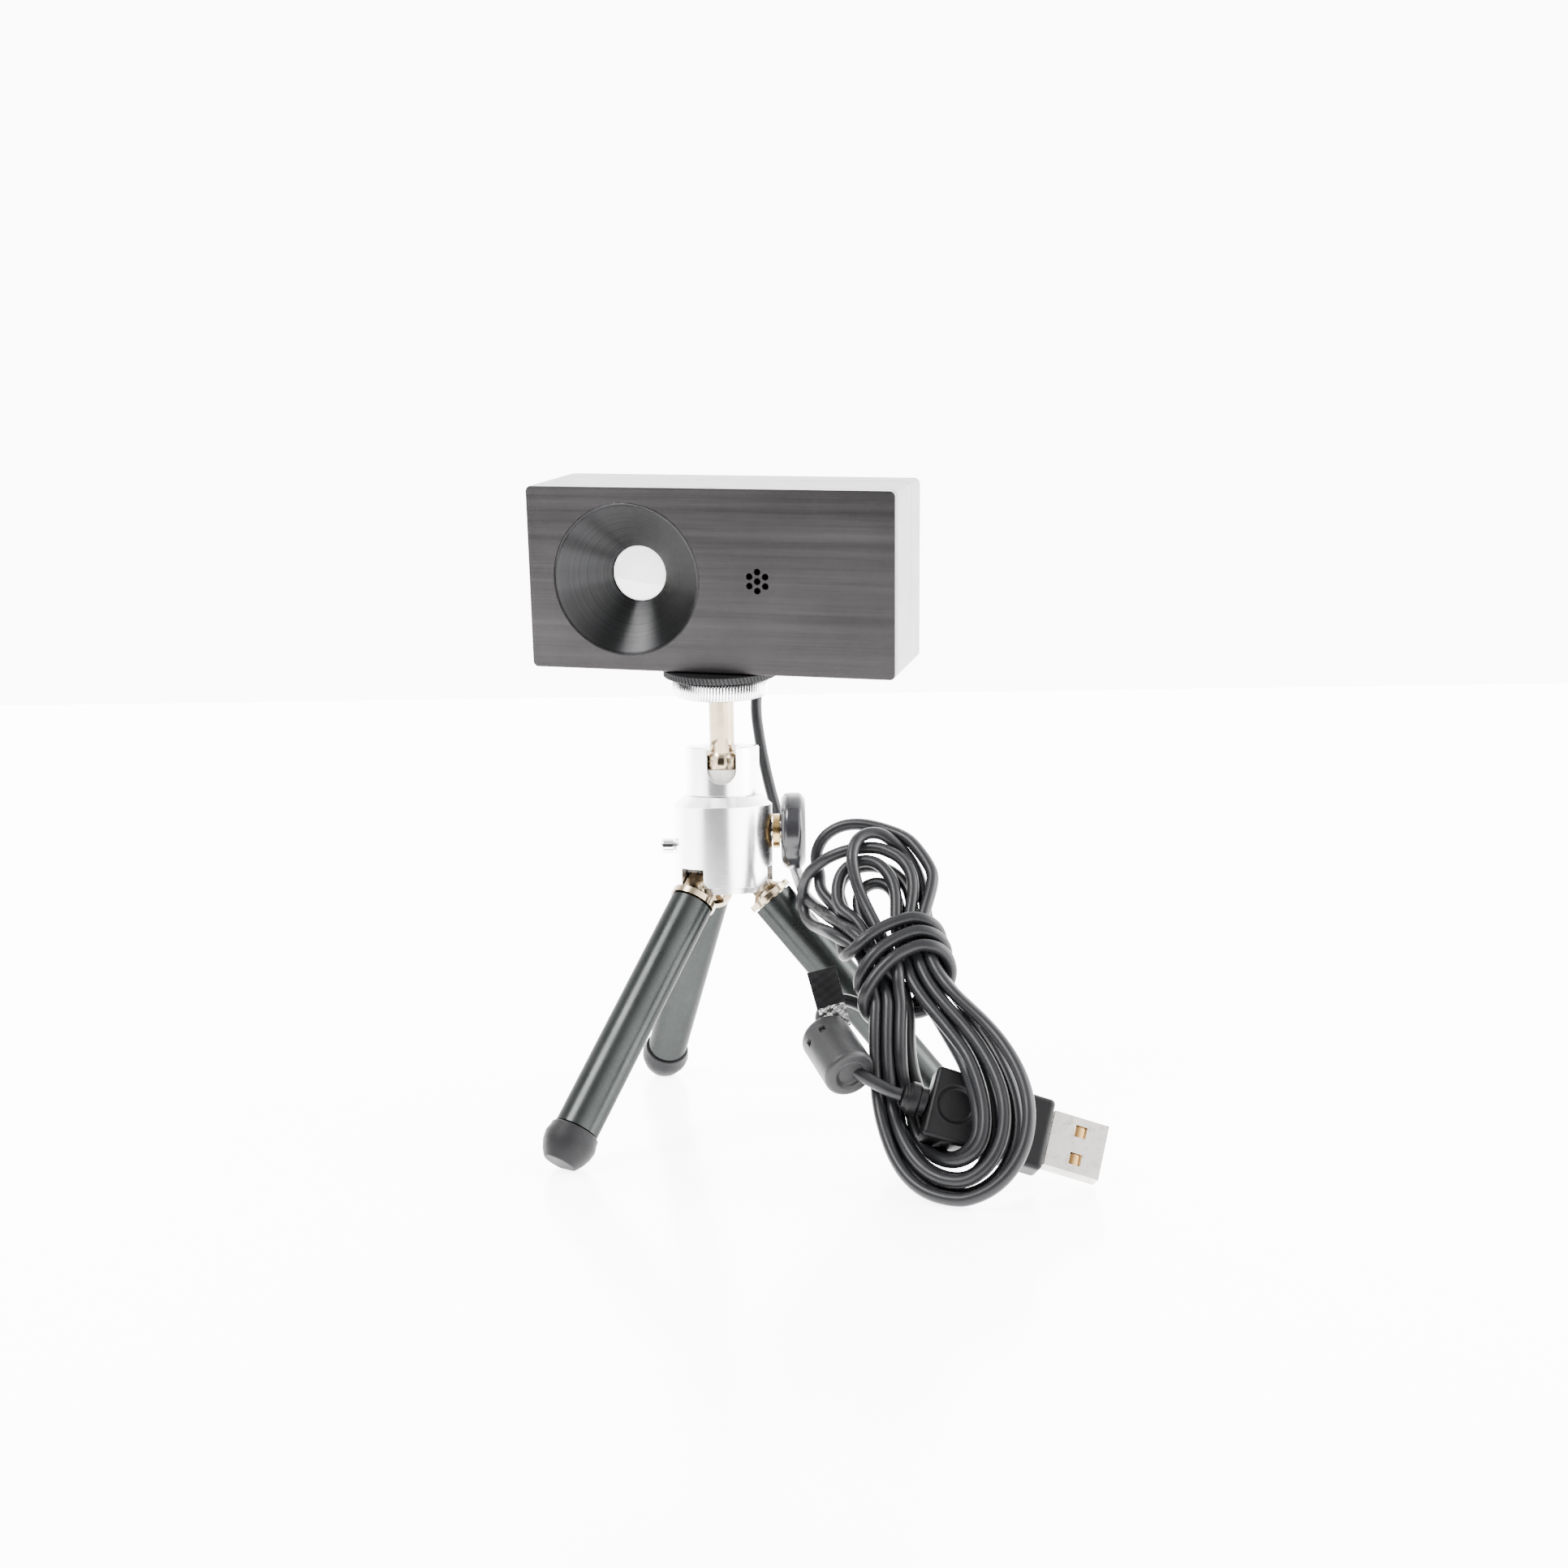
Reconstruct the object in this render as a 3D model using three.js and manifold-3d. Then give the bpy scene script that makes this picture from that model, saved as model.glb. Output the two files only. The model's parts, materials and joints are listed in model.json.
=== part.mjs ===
// Webcam on a folding desk tripod. Millimetres, +Z up. The webcam's front faces -Y.
// The origin is on the desk, under the middle of the webcam and tripod together.
import * as THREE from 'three';
import { mergeVertices } from 'three/addons/utils/BufferGeometryUtils.js';
import Module from 'manifold-3d';

const wasm = await Module();
wasm.setup();

// ---- Driving dimensions ----------------------------------------------------

const GAP = 0.3; // air left between neighbouring pieces
const AXIS_X = -6.85; // place of the tripod's upright axis
const AXIS_Y = -4.61;

const LEG_COUNT = 3;
const LEG_AZIMUTH = -40; // first leg, degrees from the front towards +X
const LEG_LEAN = 40.3; // degrees from upright, feet spread
const LEG_LENGTH = 74.6; // pivot to the end of the foot
const PIVOT_RADIUS = 7.6; // leg pivots, from the tripod's axis
const TUBE_RADIUS = 5.05;
const TUBE_BORE = 4.3;
const FOOT_RADIUS = 6.1;
const FOOT_END_RADIUS = 3.75;
const FOOT_HEIGHT = 8;
const FOOT_WEAR = 0.4; // depth of the flat worn on each foot by the desk

const HUB_RADIUS = 9.9;
const COLLAR_RADIUS = 11.6;
const COLLAR_HEIGHT = 18.8;
const COLLAR_BORE = 7.5;
const SLEEVE_RADIUS = 8.7;
const SLEEVE_HEIGHT = 11.4;
const BALL_RADIUS = 4.2;
const POST_RADIUS = 2.95;
const HEAD_TILT = 10.2; // degrees the ball stud leans forward at rest
const HEAD_RISE = 23.2; // ball centre to the webcam's underside
const PAD_RADIUS = 13.4;
const WHEEL_RADIUS = 11.35;
const KNOB_RADIUS = 9.1;
const KNOB_THICKNESS = 5.8;

const WEBCAM_TURN = -15; // degrees the webcam is turned on the stud
const BODY_WIDTH = 87;
const BODY_DEPTH = 28.6;
const BODY_HEIGHT = 42.4;
const BODY_CORNER = 1.3;
const SOCKET_SETBACK = 8.4; // front face to the tripod socket's axis
const WALL = 1.6;
const PLATE_THICKNESS = 2.2;
const SEAM_DEPTH = 18.9; // front face to the joint between shell and rear cover
const LENS_X = -19.7;
const LENS_Z = 21.2;
const CONE_RADIUS = 17.4;
const CONE_DEPTH = 9.5;
const WINDOW_RADIUS = 6.6;
const MIC_X = 11.7;
const MIC_Z = 21.6;
const MIC_PITCH = 2.15;
const MIC_HOLE_RADIUS = 0.8;

const CABLE_RADIUS = 1.4;

const Z_AXIS = new THREE.Vector3(0, 0, 1);

// Heights that follow from the dimensions above.
const lean = THREE.MathUtils.degToRad(LEG_LEAN);
const PIVOT_Z = LEG_LENGTH * Math.cos(lean) + FOOT_END_RADIUS * Math.sin(lean) - FOOT_WEAR;
const HUB_BOTTOM = PIVOT_Z - 2.5;
const COLLAR_BOTTOM = HUB_BOTTOM + 1.5;
const COLLAR_TOP = COLLAR_BOTTOM + COLLAR_HEIGHT;
const SLEEVE_BOTTOM = COLLAR_TOP + 2.2 + GAP;
const SLEEVE_TOP = SLEEVE_BOTTOM + SLEEVE_HEIGHT;
const BALL_Z = SLEEVE_TOP - 4;
const CLAMP_Z = COLLAR_TOP - 6.6;
const GUIDE_Z = CLAMP_Z - 3.2;

// ---- Shapes ----------------------------------------------------------------

// A clean closed mesh: shared corners merged, empty triangles dropped, faces pointing out.
function closed(geometry) {
  const bare = geometry.clone();
  bare.deleteAttribute('normal');
  bare.deleteAttribute('uv');
  const merged = mergeVertices(bare, 1e-4);
  const position = merged.attributes.position;
  const faces = [];
  const corners = [0, 1, 2].map(() => new THREE.Vector3());
  let volume = 0;
  for (let i = 0; i < merged.index.count; i += 3) {
    const face = [0, 1, 2].map((k) => merged.index.getX(i + k));
    if (new Set(face).size < 3) continue;
    face.forEach((vertex, k) => corners[k].fromBufferAttribute(position, vertex));
    volume += corners[0].dot(corners[1].cross(corners[2]));
    faces.push(face);
  }
  if (volume < 0) faces.forEach((face) => face.reverse());
  const result = new THREE.BufferGeometry();
  result.setAttribute('position', position);
  result.setIndex(faces.flat());
  return result;
}

function toManifold(geometry) {
  const mesh = closed(geometry);
  return new wasm.Manifold(new wasm.Mesh({
    numProp: 3,
    vertProperties: new Float32Array(mesh.attributes.position.array),
    triVerts: new Uint32Array(mesh.index.array),
  }));
}

function toGeometry(manifold) {
  const mesh = manifold.getMesh();
  const geometry = new THREE.BufferGeometry();
  geometry.setAttribute('position', new THREE.BufferAttribute(new Float32Array(mesh.vertProperties), 3));
  geometry.setIndex(Array.from(mesh.triVerts));
  return geometry;
}

function join(first, ...others) {
  return toGeometry(others.reduce((whole, other) => whole.add(toManifold(other)), toManifold(first)));
}

function cut(first, ...others) {
  return toGeometry(others.reduce((rest, other) => rest.subtract(toManifold(other)), toManifold(first)));
}

// Solid of revolution about Z from [radius, height] pairs that start and end on the axis.
function turned(profile, segments = 32) {
  const points = profile.map(([radius, height]) => new THREE.Vector2(radius, height));
  return closed(new THREE.LatheGeometry(points, segments).rotateX(Math.PI / 2));
}

// Solid of revolution about Z from [radius, height] pairs around a hollow middle.
function turnedRing(profile, segments = 32) {
  return turned([...profile, profile[0]], segments);
}

function rod(radius, bottom, top, segments = 24) {
  return turned([[0, bottom], [radius, bottom], [radius, top], [0, top]], segments);
}

function pipe(outer, bore, bottom, top, segments = 32) {
  return turnedRing([[bore, bottom], [outer, bottom], [outer, top], [bore, top]], segments);
}

function block(width, depth, height, x = 0, y = 0, z = 0) {
  return new THREE.BoxGeometry(width, depth, height).translate(x, y, z);
}

// Points a solid made along +Z the way of +Y, so that its height becomes depth.
function backward(geometry) {
  return geometry.rotateX(-Math.PI / 2).rotateY(Math.PI);
}

function roundedRectangle(width, height, radius) {
  const x = width / 2;
  const y = height / 2;
  const shape = new THREE.Shape();
  shape.moveTo(x, y - radius);
  shape.absarc(x - radius, y - radius, radius, 0, Math.PI / 2);
  shape.absarc(radius - x, y - radius, radius, Math.PI / 2, Math.PI);
  shape.absarc(radius - x, radius - y, radius, Math.PI, 1.5 * Math.PI);
  shape.absarc(x - radius, radius - y, radius, 1.5 * Math.PI, 2 * Math.PI);
  return shape;
}

function extruded(shape, depth, curveSegments = 4) {
  return closed(new THREE.ExtrudeGeometry(shape, { depth, bevelEnabled: false, curveSegments }));
}

// A slab of the webcam's outline between two depths behind its front face.
function bodySlab(inset, front, rear) {
  const corner = Math.max(BODY_CORNER - inset, 0.4);
  const outline = roundedRectangle(BODY_WIDTH - 2 * inset, BODY_HEIGHT - 2 * inset, corner);
  const slab = extruded(outline, rear - front, 3).rotateX(Math.PI / 2);
  return slab.translate(0, rear - SOCKET_SETBACK, BODY_HEIGHT / 2);
}

// Puts a solid that was turned about Z at a place on the webcam's front, running backwards.
function behindFront(geometry, x, z, depth = 0) {
  return backward(geometry).translate(x, depth - SOCKET_SETBACK, z);
}

function tube(points, radius = CABLE_RADIUS, steps = 24) {
  const section = new THREE.Shape();
  const sides = 8;
  for (let i = 0; i < sides; i += 1) {
    const angle = (i / sides) * 2 * Math.PI;
    const place = [radius * Math.cos(angle), radius * Math.sin(angle)];
    if (i === 0) section.moveTo(...place);
    else section.lineTo(...place);
  }
  section.closePath();
  const extrudePath = new THREE.CatmullRomCurve3(points, false, 'centripetal');
  return closed(new THREE.ExtrudeGeometry(section, { steps, extrudePath, bevelEnabled: false }));
}

function place(parent, name, geometry, color, roughness, metalness) {
  const material = new THREE.MeshStandardMaterial({ color, roughness, metalness });
  const mesh = new THREE.Mesh(geometry, material);
  mesh.name = name;
  parent.add(mesh);
  return mesh;
}

// ---- Colours ---------------------------------------------------------------

const CHROME = [0xdfe1e4, 0.08, 1];
const NICKEL = [0xcdbf9f, 0.25, 1];
const BRASS = [0xb99a5b, 0.3, 1];
const STEEL = [0xb8bbbe, 0.35, 1];
const GRAPHITE = [0x6a7271, 0.4, 0.8];
const RUBBER = [0x26262a, 0.75, 0];
const BLACK_PLASTIC = [0x2c2c30, 0.4, 0];
const SATIN_SILVER = [0xe3e3e5, 0.35, 0.9];
const BRUSHED_DARK = [0x6a6768, 0.4, 0.9];
const CABLE_BLACK = [0x2e2e33, 0.45, 0];

// ---- Webcam ----------------------------------------------------------------

function micHolePlaces() {
  const places = [[MIC_X, MIC_Z]];
  for (let i = 0; i < 6; i += 1) {
    const angle = (i + 0.5) * (Math.PI / 3);
    places.push([MIC_X + MIC_PITCH * Math.cos(angle), MIC_Z + MIC_PITCH * Math.sin(angle)]);
  }
  return places;
}

function frontPlate() {
  const lensHole = behindFront(rod(CONE_RADIUS + GAP, -1, 5, 48), LENS_X, LENS_Z);
  const micHoles = micHolePlaces().map(([x, z]) => behindFront(rod(MIC_HOLE_RADIUS, -1, 5, 10), x, z));
  return cut(bodySlab(0, 0, PLATE_THICKNESS), lensHole, ...micHoles);
}

// A funnel that narrows from the front plate to the lens window, with a flange behind the plate.
function lensCone() {
  const flange = PLATE_THICKNESS + GAP;
  const seat = CONE_DEPTH + 2.2;
  return behindFront(turnedRing([
    [CONE_RADIUS, 0], [WINDOW_RADIUS, CONE_DEPTH], [WINDOW_RADIUS + GAP, CONE_DEPTH + 0.4],
    [WINDOW_RADIUS + GAP, seat], [WINDOW_RADIUS + 1.6, seat], [WINDOW_RADIUS + 1.6, CONE_DEPTH + 0.6],
    [CONE_RADIUS - 1, flange + 1.2], [CONE_RADIUS + 1.6, flange + 1.2], [CONE_RADIUS + 1.6, flange],
    [CONE_RADIUS, flange],
  ], 48), LENS_X, LENS_Z);
}

// Corner places of the rear screws, in the webcam's width and height.
function cornerPlaces() {
  const x = BODY_WIDTH / 2 - 4.2;
  const low = 3.9;
  const high = BODY_HEIGHT - low;
  return [[-x, low], [x, low], [-x, high], [x, high]];
}

function housingShell() {
  const front = PLATE_THICKNESS + GAP;
  const rear = SEAM_DEPTH - GAP;
  const frame = cut(bodySlab(0, front, rear), bodySlab(WALL, front - 1, rear + 1));
  const bosses = cornerPlaces().map(([x, z]) => behindFront(rod(2.6, front + 2, rear, 12), x, z));
  const holes = cornerPlaces().map(([x, z]) => behindFront(rod(1.3, front + 5, rear + 1, 12), x, z));
  const socketHole = rod(5.2, -1, WALL + 1, 24);
  return cut(join(frame, ...bosses), ...holes, socketHole);
}

const BOARD_X = 30; // board screws, each side of the middle
const GLAND_X = 1.5;
const GLAND_Z = 6.5;

function rearCover() {
  const backWall = 1.8;
  const tray = cut(
    bodySlab(0, SEAM_DEPTH, BODY_DEPTH),
    bodySlab(WALL, SEAM_DEPTH - 1, BODY_DEPTH - backWall),
  );
  const postFront = SEAM_DEPTH + 4.8;
  const posts = [-BOARD_X, BOARD_X].map((x) => behindFront(rod(2.5, postFront, BODY_DEPTH - 1, 12), x, LENS_Z));
  const threads = [-BOARD_X, BOARD_X].map((x) => behindFront(rod(1.2, postFront - 1, postFront + 2.4, 12), x, LENS_Z));
  const screwHoles = cornerPlaces().map(([x, z]) => behindFront(rod(1.3, SEAM_DEPTH, BODY_DEPTH + 1, 12), x, z));
  const headSinks = cornerPlaces().map(([x, z]) => behindFront(rod(2.5, BODY_DEPTH - 1.1, BODY_DEPTH + 1, 16), x, z));
  const glandHole = behindFront(rod(2.4, BODY_DEPTH - 3, BODY_DEPTH + 1, 16), GLAND_X, GLAND_Z);
  return cut(join(tray, ...posts), ...threads, ...screwHoles, ...headSinks, glandHole);
}

function rearScrew() {
  const head = BODY_DEPTH - 0.8;
  return turned([[0, 12], [1, 12], [1, head], [2.2, head], [2.2, BODY_DEPTH - 0.1], [0, BODY_DEPTH - 0.1]], 16);
}

function boardScrew() {
  return turned([[0, 20.4], [1.8, 20.4], [1.8, 21.4], [0.9, 21.4], [0.9, 25.6], [0, 25.6]], 12);
}

function mainBoard() {
  const board = block(70, 1.6, 34, 0, 22.5 - SOCKET_SETBACK, BODY_HEIGHT / 2);
  const holes = [-BOARD_X, BOARD_X].map((x) => behindFront(rod(1.2, 20, 25, 12), x, LENS_Z));
  return cut(board, ...holes);
}

// A spherical-faced glass disc: flat towards the front, bulging to the rear.
function lensElement(radius, front, edge, bulge) {
  return turned([
    [0, front], [radius, front], [radius, front + edge],
    [radius * 0.6, front + edge + bulge * 0.64], [0, front + edge + bulge],
  ], 24);
}

function lensHolder() {
  const base = block(17, 5, 17, LENS_X, 17.6 - SOCKET_SETBACK, LENS_Z);
  return cut(base, behindFront(rod(6.1, 14, 17.7, 24), LENS_X, LENS_Z), block(9.6, 10, 9.6, LENS_X, 18 - SOCKET_SETBACK, LENS_Z));
}

function buildWebcam(webcam) {
  place(webcam, 'front_plate', frontPlate(), ...BRUSHED_DARK);
  place(webcam, 'lens_cone', lensCone(), 0x4a4a4c, 0.35, 0.9);
  const glass = behindFront(rod(WINDOW_RADIUS, CONE_DEPTH + 0.6, CONE_DEPTH + 1.7, 32), LENS_X, LENS_Z);
  place(webcam, 'lens_window', glass, 0xf6f1f1, 0.08, 0);
  const barrel = behindFront(pipe(5.8, 4.6, CONE_DEPTH + 2, 17.4, 24), LENS_X, LENS_Z);
  place(webcam, 'lens_barrel', barrel, 0x202022, 0.5, 0.3);
  const frontLens = behindFront(lensElement(4.3, 11.8, 0.8, 1), LENS_X, LENS_Z);
  place(webcam, 'lens_front', frontLens, 0xa8b4c8, 0.05, 0);
  const rearLens = behindFront(lensElement(4.3, 14.4, 0.8, 1), LENS_X, LENS_Z);
  place(webcam, 'lens_rear', rearLens, 0xa8b4c8, 0.05, 0);
  place(webcam, 'lens_holder', lensHolder(), ...BLACK_PLASTIC);
  const filter = block(8.6, 0.5, 8.6, LENS_X, 18.3 - SOCKET_SETBACK, LENS_Z);
  place(webcam, 'ir_filter', filter, 0x9fc2c8, 0.05, 0);
  const sensor = block(7, 1.2, 6, LENS_X, 20.8 - SOCKET_SETBACK, LENS_Z);
  place(webcam, 'image_sensor', sensor, 0x3a3a44, 0.3, 0.2);
  place(webcam, 'main_board', mainBoard(), 0x1f5a34, 0.5, 0);
  [-BOARD_X, BOARD_X].forEach((x, i) => {
    place(webcam, `board_screw_${i + 1}`, behindFront(boardScrew(), x, LENS_Z), ...STEEL);
  });
  const micFront = PLATE_THICKNESS + GAP;
  place(webcam, 'mic_gasket', behindFront(pipe(4.6, 3.3, micFront, micFront + 1.5, 20), MIC_X, MIC_Z), ...RUBBER);
  const capsule = rod(4.4, micFront + 1.5 + GAP, micFront + 6, 20);
  place(webcam, 'mic_capsule', behindFront(capsule, MIC_X, MIC_Z), ...STEEL);
  place(webcam, 'housing_shell', housingShell(), ...SATIN_SILVER);
  place(webcam, 'rear_cover', rearCover(), ...SATIN_SILVER);
  cornerPlaces().forEach(([x, z], i) => {
    place(webcam, `rear_screw_${i + 1}`, behindFront(rearScrew(), x, z), ...STEEL);
  });
  const insert = turned([
    [0, 7], [3.5, 7], [3.5, GAP], [4.9, GAP], [4.9, WALL + GAP], [5.8, WALL + GAP],
    [5.8, WALL + 1.5], [4.9, WALL + 1.5], [4.9, 8.6], [0, 8.6],
  ], 24);
  place(webcam, 'tripod_insert', insert, ...BRASS);
  place(webcam, 'cable_gland', cableGland(), ...RUBBER);
}

const GLAND_TIP = BODY_DEPTH + 9; // front face to the end of the strain relief

// A tapered strain relief that clips into the rear cover.
function cableGland() {
  const wall = BODY_DEPTH - 1.8;
  return behindFront(turned([
    [0, wall - 1.6], [3.4, wall - 1.6], [3.4, wall - GAP], [2.1, wall - GAP], [2.1, BODY_DEPTH + GAP],
    [3.3, BODY_DEPTH + GAP], [3.3, BODY_DEPTH + 1.4], [1.9, GLAND_TIP], [0, GLAND_TIP],
  ], 16), GLAND_X, GLAND_Z);
}

// ---- Head and clamp --------------------------------------------------------

// Ball, post, pad flange and threaded tip in one piece. Heights are from the ball's centre.
function ballStud() {
  const profile = [[0, -BALL_RADIUS]];
  const neckAngle = Math.acos(POST_RADIUS / BALL_RADIUS);
  const steps = 8;
  for (let i = 1; i <= steps; i += 1) {
    const angle = -Math.PI / 2 + (i / steps) * (Math.PI / 2 + neckAngle);
    profile.push([BALL_RADIUS * Math.cos(angle), BALL_RADIUS * Math.sin(angle)]);
  }
  const top = HEAD_RISE - GAP;
  profile.push([POST_RADIUS, top + 6], [0, top + 6]);
  return turned(profile, 24);
}

const PAD_THICKNESS = 1.5;
const WHEEL_THICKNESS = 4.6;

function rubberPad() {
  const top = HEAD_RISE - GAP;
  return pipe(PAD_RADIUS, POST_RADIUS + GAP, top - PAD_THICKNESS, top, 48);
}

function lockWheel() {
  const top = HEAD_RISE - 2 * GAP - PAD_THICKNESS;
  const bottom = top - WHEEL_THICKNESS;
  const bore = POST_RADIUS + GAP;
  return turnedRing([
    [bore, bottom], [WHEEL_RADIUS - 0.4, bottom], [WHEEL_RADIUS, bottom + 0.4],
    [WHEEL_RADIUS, top - 0.4], [WHEEL_RADIUS - 0.4, top], [bore, top],
  ], 48);
}

const STEM_BOTTOM = CLAMP_Z - 2.4; // lower end of the sleeve's stem

// Sleeve with a stem that turns in the collar, a bore for the ball and a slot for the post.
function headSleeve() {
  const stem = COLLAR_BORE - GAP;
  const bore = BALL_RADIUS + GAP;
  const body = turnedRing([
    [bore, STEM_BOTTOM], [stem, STEM_BOTTOM], [stem, SLEEVE_BOTTOM], [SLEEVE_RADIUS, SLEEVE_BOTTOM],
    [SLEEVE_RADIUS, SLEEVE_TOP - 0.3], [SLEEVE_RADIUS - 0.3, SLEEVE_TOP], [bore, SLEEVE_TOP],
    [3.9, SLEEVE_TOP - 1.2], [3.9, BALL_Z + 1.9], [bore, BALL_Z + 1.2],
  ], 40);
  const groove = pipe(stem + 1, stem - 1.1, CLAMP_Z - 1.7, CLAMP_Z + 1.7, 40);
  const slotRadius = POST_RADIUS + 0.45;
  const slotLow = BALL_Z - 1.3;
  const channel = new THREE.Shape();
  channel.moveTo(slotRadius, 12);
  channel.lineTo(-slotRadius, 12);
  channel.lineTo(-slotRadius, 0);
  channel.absarc(0, 0, slotRadius, Math.PI, 2 * Math.PI);
  channel.closePath();
  const slot = extruded(channel, 12, 8).rotateX(Math.PI / 2).translate(0, 0, slotLow);
  return cut(body, groove, slot);
}

// Nylon cup that the ball sits in.
function ballSeat() {
  const radius = BALL_RADIUS + GAP;
  const rim = BALL_Z - 1.6;
  const rimRadius = Math.sqrt(radius ** 2 - 1.6 ** 2);
  const bottom = BALL_Z - radius - 1.4;
  const middle = [rimRadius * 0.7, BALL_Z - Math.sqrt(radius ** 2 - (rimRadius * 0.7) ** 2)];
  const outer = BALL_RADIUS - 0.05;
  return turned([[0, bottom], [outer, bottom], [outer, rim], [rimRadius - 0.25, rim], middle, [0, BALL_Z - radius]], 24);
}

// Conical spring washer that presses the seat up against the ball.
function springWasher() {
  const top = BALL_Z - BALL_RADIUS - GAP - 1.4 - GAP;
  return turnedRing([[1.5, top - 0.5], [3.9, top - 1.4], [3.9, top - 0.9], [1.5, top]], 24);
}

function sleevePlug() {
  const top = BALL_Z - BALL_RADIUS - 2 * GAP - 2.8 - GAP;
  return turned([[0, STEM_BOTTOM], [BALL_RADIUS, STEM_BOTTOM], [BALL_RADIUS, top], [0, top]], 24);
}

// Three radial slots that the legs' tangs swing in.
function legSlots() {
  const slots = [];
  for (let i = 0; i < LEG_COUNT; i += 1) {
    const slot = block(6.8, 12, 8.2, 0, -10.6, PIVOT_Z - 0.8).rotateZ(legAngle(i));
    slots.push(slot);
  }
  return slots;
}

function legAngle(index) {
  return THREE.MathUtils.degToRad(LEG_AZIMUTH + (index * 360) / LEG_COUNT);
}

function clampCollar() {
  const web = PIVOT_Z + 6.6;
  const mouth = SLEEVE_RADIUS + 0.4;
  const body = turnedRing([
    [HUB_RADIUS + GAP, COLLAR_BOTTOM], [COLLAR_RADIUS, COLLAR_BOTTOM], [COLLAR_RADIUS, COLLAR_TOP],
    [mouth, COLLAR_TOP + 2.2], [COLLAR_BORE, COLLAR_TOP + 2.2], [COLLAR_BORE, web + 1.8],
    [1.8, web + 1.8], [1.8, web], [HUB_RADIUS + GAP, web],
  ], 48);
  const screwHole = rod(2.5, 5, 14, 16).rotateY(Math.PI / 2).translate(0, 0, CLAMP_Z);
  const guideHole = rod(1.2, 9, 14, 12).rotateY(-Math.PI / 2).translate(0, 0, GUIDE_Z);
  return cut(body, screwHole, guideHole, ...legSlots());
}

// The disc inside the collar that the legs hinge on, with a flange under the collar's edge.
function legHub() {
  const top = PIVOT_Z + 6.3;
  const sink = HUB_BOTTOM + 2.2;
  const body = turnedRing([
    [3.4, HUB_BOTTOM], [HUB_RADIUS + 0.8, HUB_BOTTOM], [HUB_RADIUS + 0.8, HUB_BOTTOM + 1.2],
    [HUB_RADIUS, HUB_BOTTOM + 1.2], [HUB_RADIUS, top], [1.8, top], [1.8, sink], [3.4, sink],
  ], 48);
  const pinHoles = [];
  for (let i = 0; i < LEG_COUNT; i += 1) pinHoles.push(acrossLeg(rod(1.3, -8, 8, 12), i));
  return cut(body, ...legSlots(), ...pinHoles);
}

// Lays a solid made along Z across a leg's pivot, in the tripod's frame.
function acrossLeg(geometry, index) {
  return geometry.rotateY(Math.PI / 2).translate(0, -PIVOT_RADIUS, PIVOT_Z).rotateZ(legAngle(index));
}

function hubScrew() {
  const head = HUB_BOTTOM + 0.3;
  return turned([
    [0, head], [3.1, head], [3.1, head + 1.6], [1.5, head + 1.6], [1.5, PIVOT_Z + 8.2], [0, PIVOT_Z + 8.2],
  ], 16);
}

// Screw along +X whose tip runs in the stem's groove.
function clampScrew() {
  const tip = COLLAR_BORE - GAP - 0.7;
  const bushFace = COLLAR_RADIUS + GAP;
  return turned([
    [0, tip], [1.3, tip], [1.3, tip + 1], [2.2, tip + 1.8], [2.2, bushFace + 3.6], [0, bushFace + 3.6],
  ], 16).rotateY(Math.PI / 2).translate(0, 0, CLAMP_Z);
}

const KNOB_X = COLLAR_RADIUS + 2.1; // inner face of the knob

function clampKnob() {
  const outer = KNOB_X + KNOB_THICKNESS;
  const hole = KNOB_X + 2.6;
  return turned([
    [0, hole], [2.5, hole], [2.5, KNOB_X], [KNOB_RADIUS - 1.4, KNOB_X], [KNOB_RADIUS, KNOB_X + 1.4],
    [KNOB_RADIUS, outer - 1.8], [KNOB_RADIUS - 1.8, outer], [0, outer],
  ], 40).rotateY(Math.PI / 2).translate(0, 0, CLAMP_Z);
}

function clampBush() {
  const start = COLLAR_RADIUS + 0.15;
  return pipe(4.1, 2.5, start, KNOB_X - GAP, 24).rotateY(Math.PI / 2).translate(0, 0, CLAMP_Z);
}

// Short chrome screw on the side away from the knob, which keeps the sleeve in the collar.
function guideScrew() {
  return turned([
    [0, 9.4], [0.9, 9.4], [0.9, COLLAR_RADIUS + 0.2], [1.8, COLLAR_RADIUS + 0.2],
    [1.8, COLLAR_RADIUS + 2.8], [1.4, COLLAR_RADIUS + 3.2], [0, COLLAR_RADIUS + 3.2],
  ], 16).rotateY(-Math.PI / 2).translate(0, 0, GUIDE_Z);
}

function buildHead(tripod) {
  place(tripod, 'clamp_collar', clampCollar(), ...CHROME);
  place(tripod, 'guide_screw', guideScrew(), ...CHROME);
  place(tripod, 'clamp_bush', clampBush(), ...BRASS);
  place(tripod, 'clamp_screw', clampScrew(), ...STEEL);
  place(tripod, 'clamp_knob', clampKnob(), ...BLACK_PLASTIC);
  place(tripod, 'head_sleeve', headSleeve(), ...CHROME);
  place(tripod, 'ball_seat', ballSeat(), 0xe8e4da, 0.5, 0);
  place(tripod, 'spring_washer', springWasher(), ...STEEL);
  place(tripod, 'sleeve_plug', sleevePlug(), ...BRASS);

  const stud = new THREE.Group();
  stud.position.z = BALL_Z;
  stud.rotation.x = THREE.MathUtils.degToRad(HEAD_TILT);
  tripod.add(stud);
  place(stud, 'ball_stud', ballStud(), ...NICKEL);
  place(stud, 'rubber_pad', rubberPad(), ...RUBBER);
  place(stud, 'lock_wheel', lockWheel(), ...CHROME);

  const webcam = new THREE.Group();
  webcam.position.z = HEAD_RISE;
  webcam.rotation.z = THREE.MathUtils.degToRad(WEBCAM_TURN);
  stud.add(webcam);
  buildWebcam(webcam);
  return webcam;
}

// ---- Legs ------------------------------------------------------------------

const RING_START = 4.5; // along the leg from its pivot
const RING_END = 6;

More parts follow.
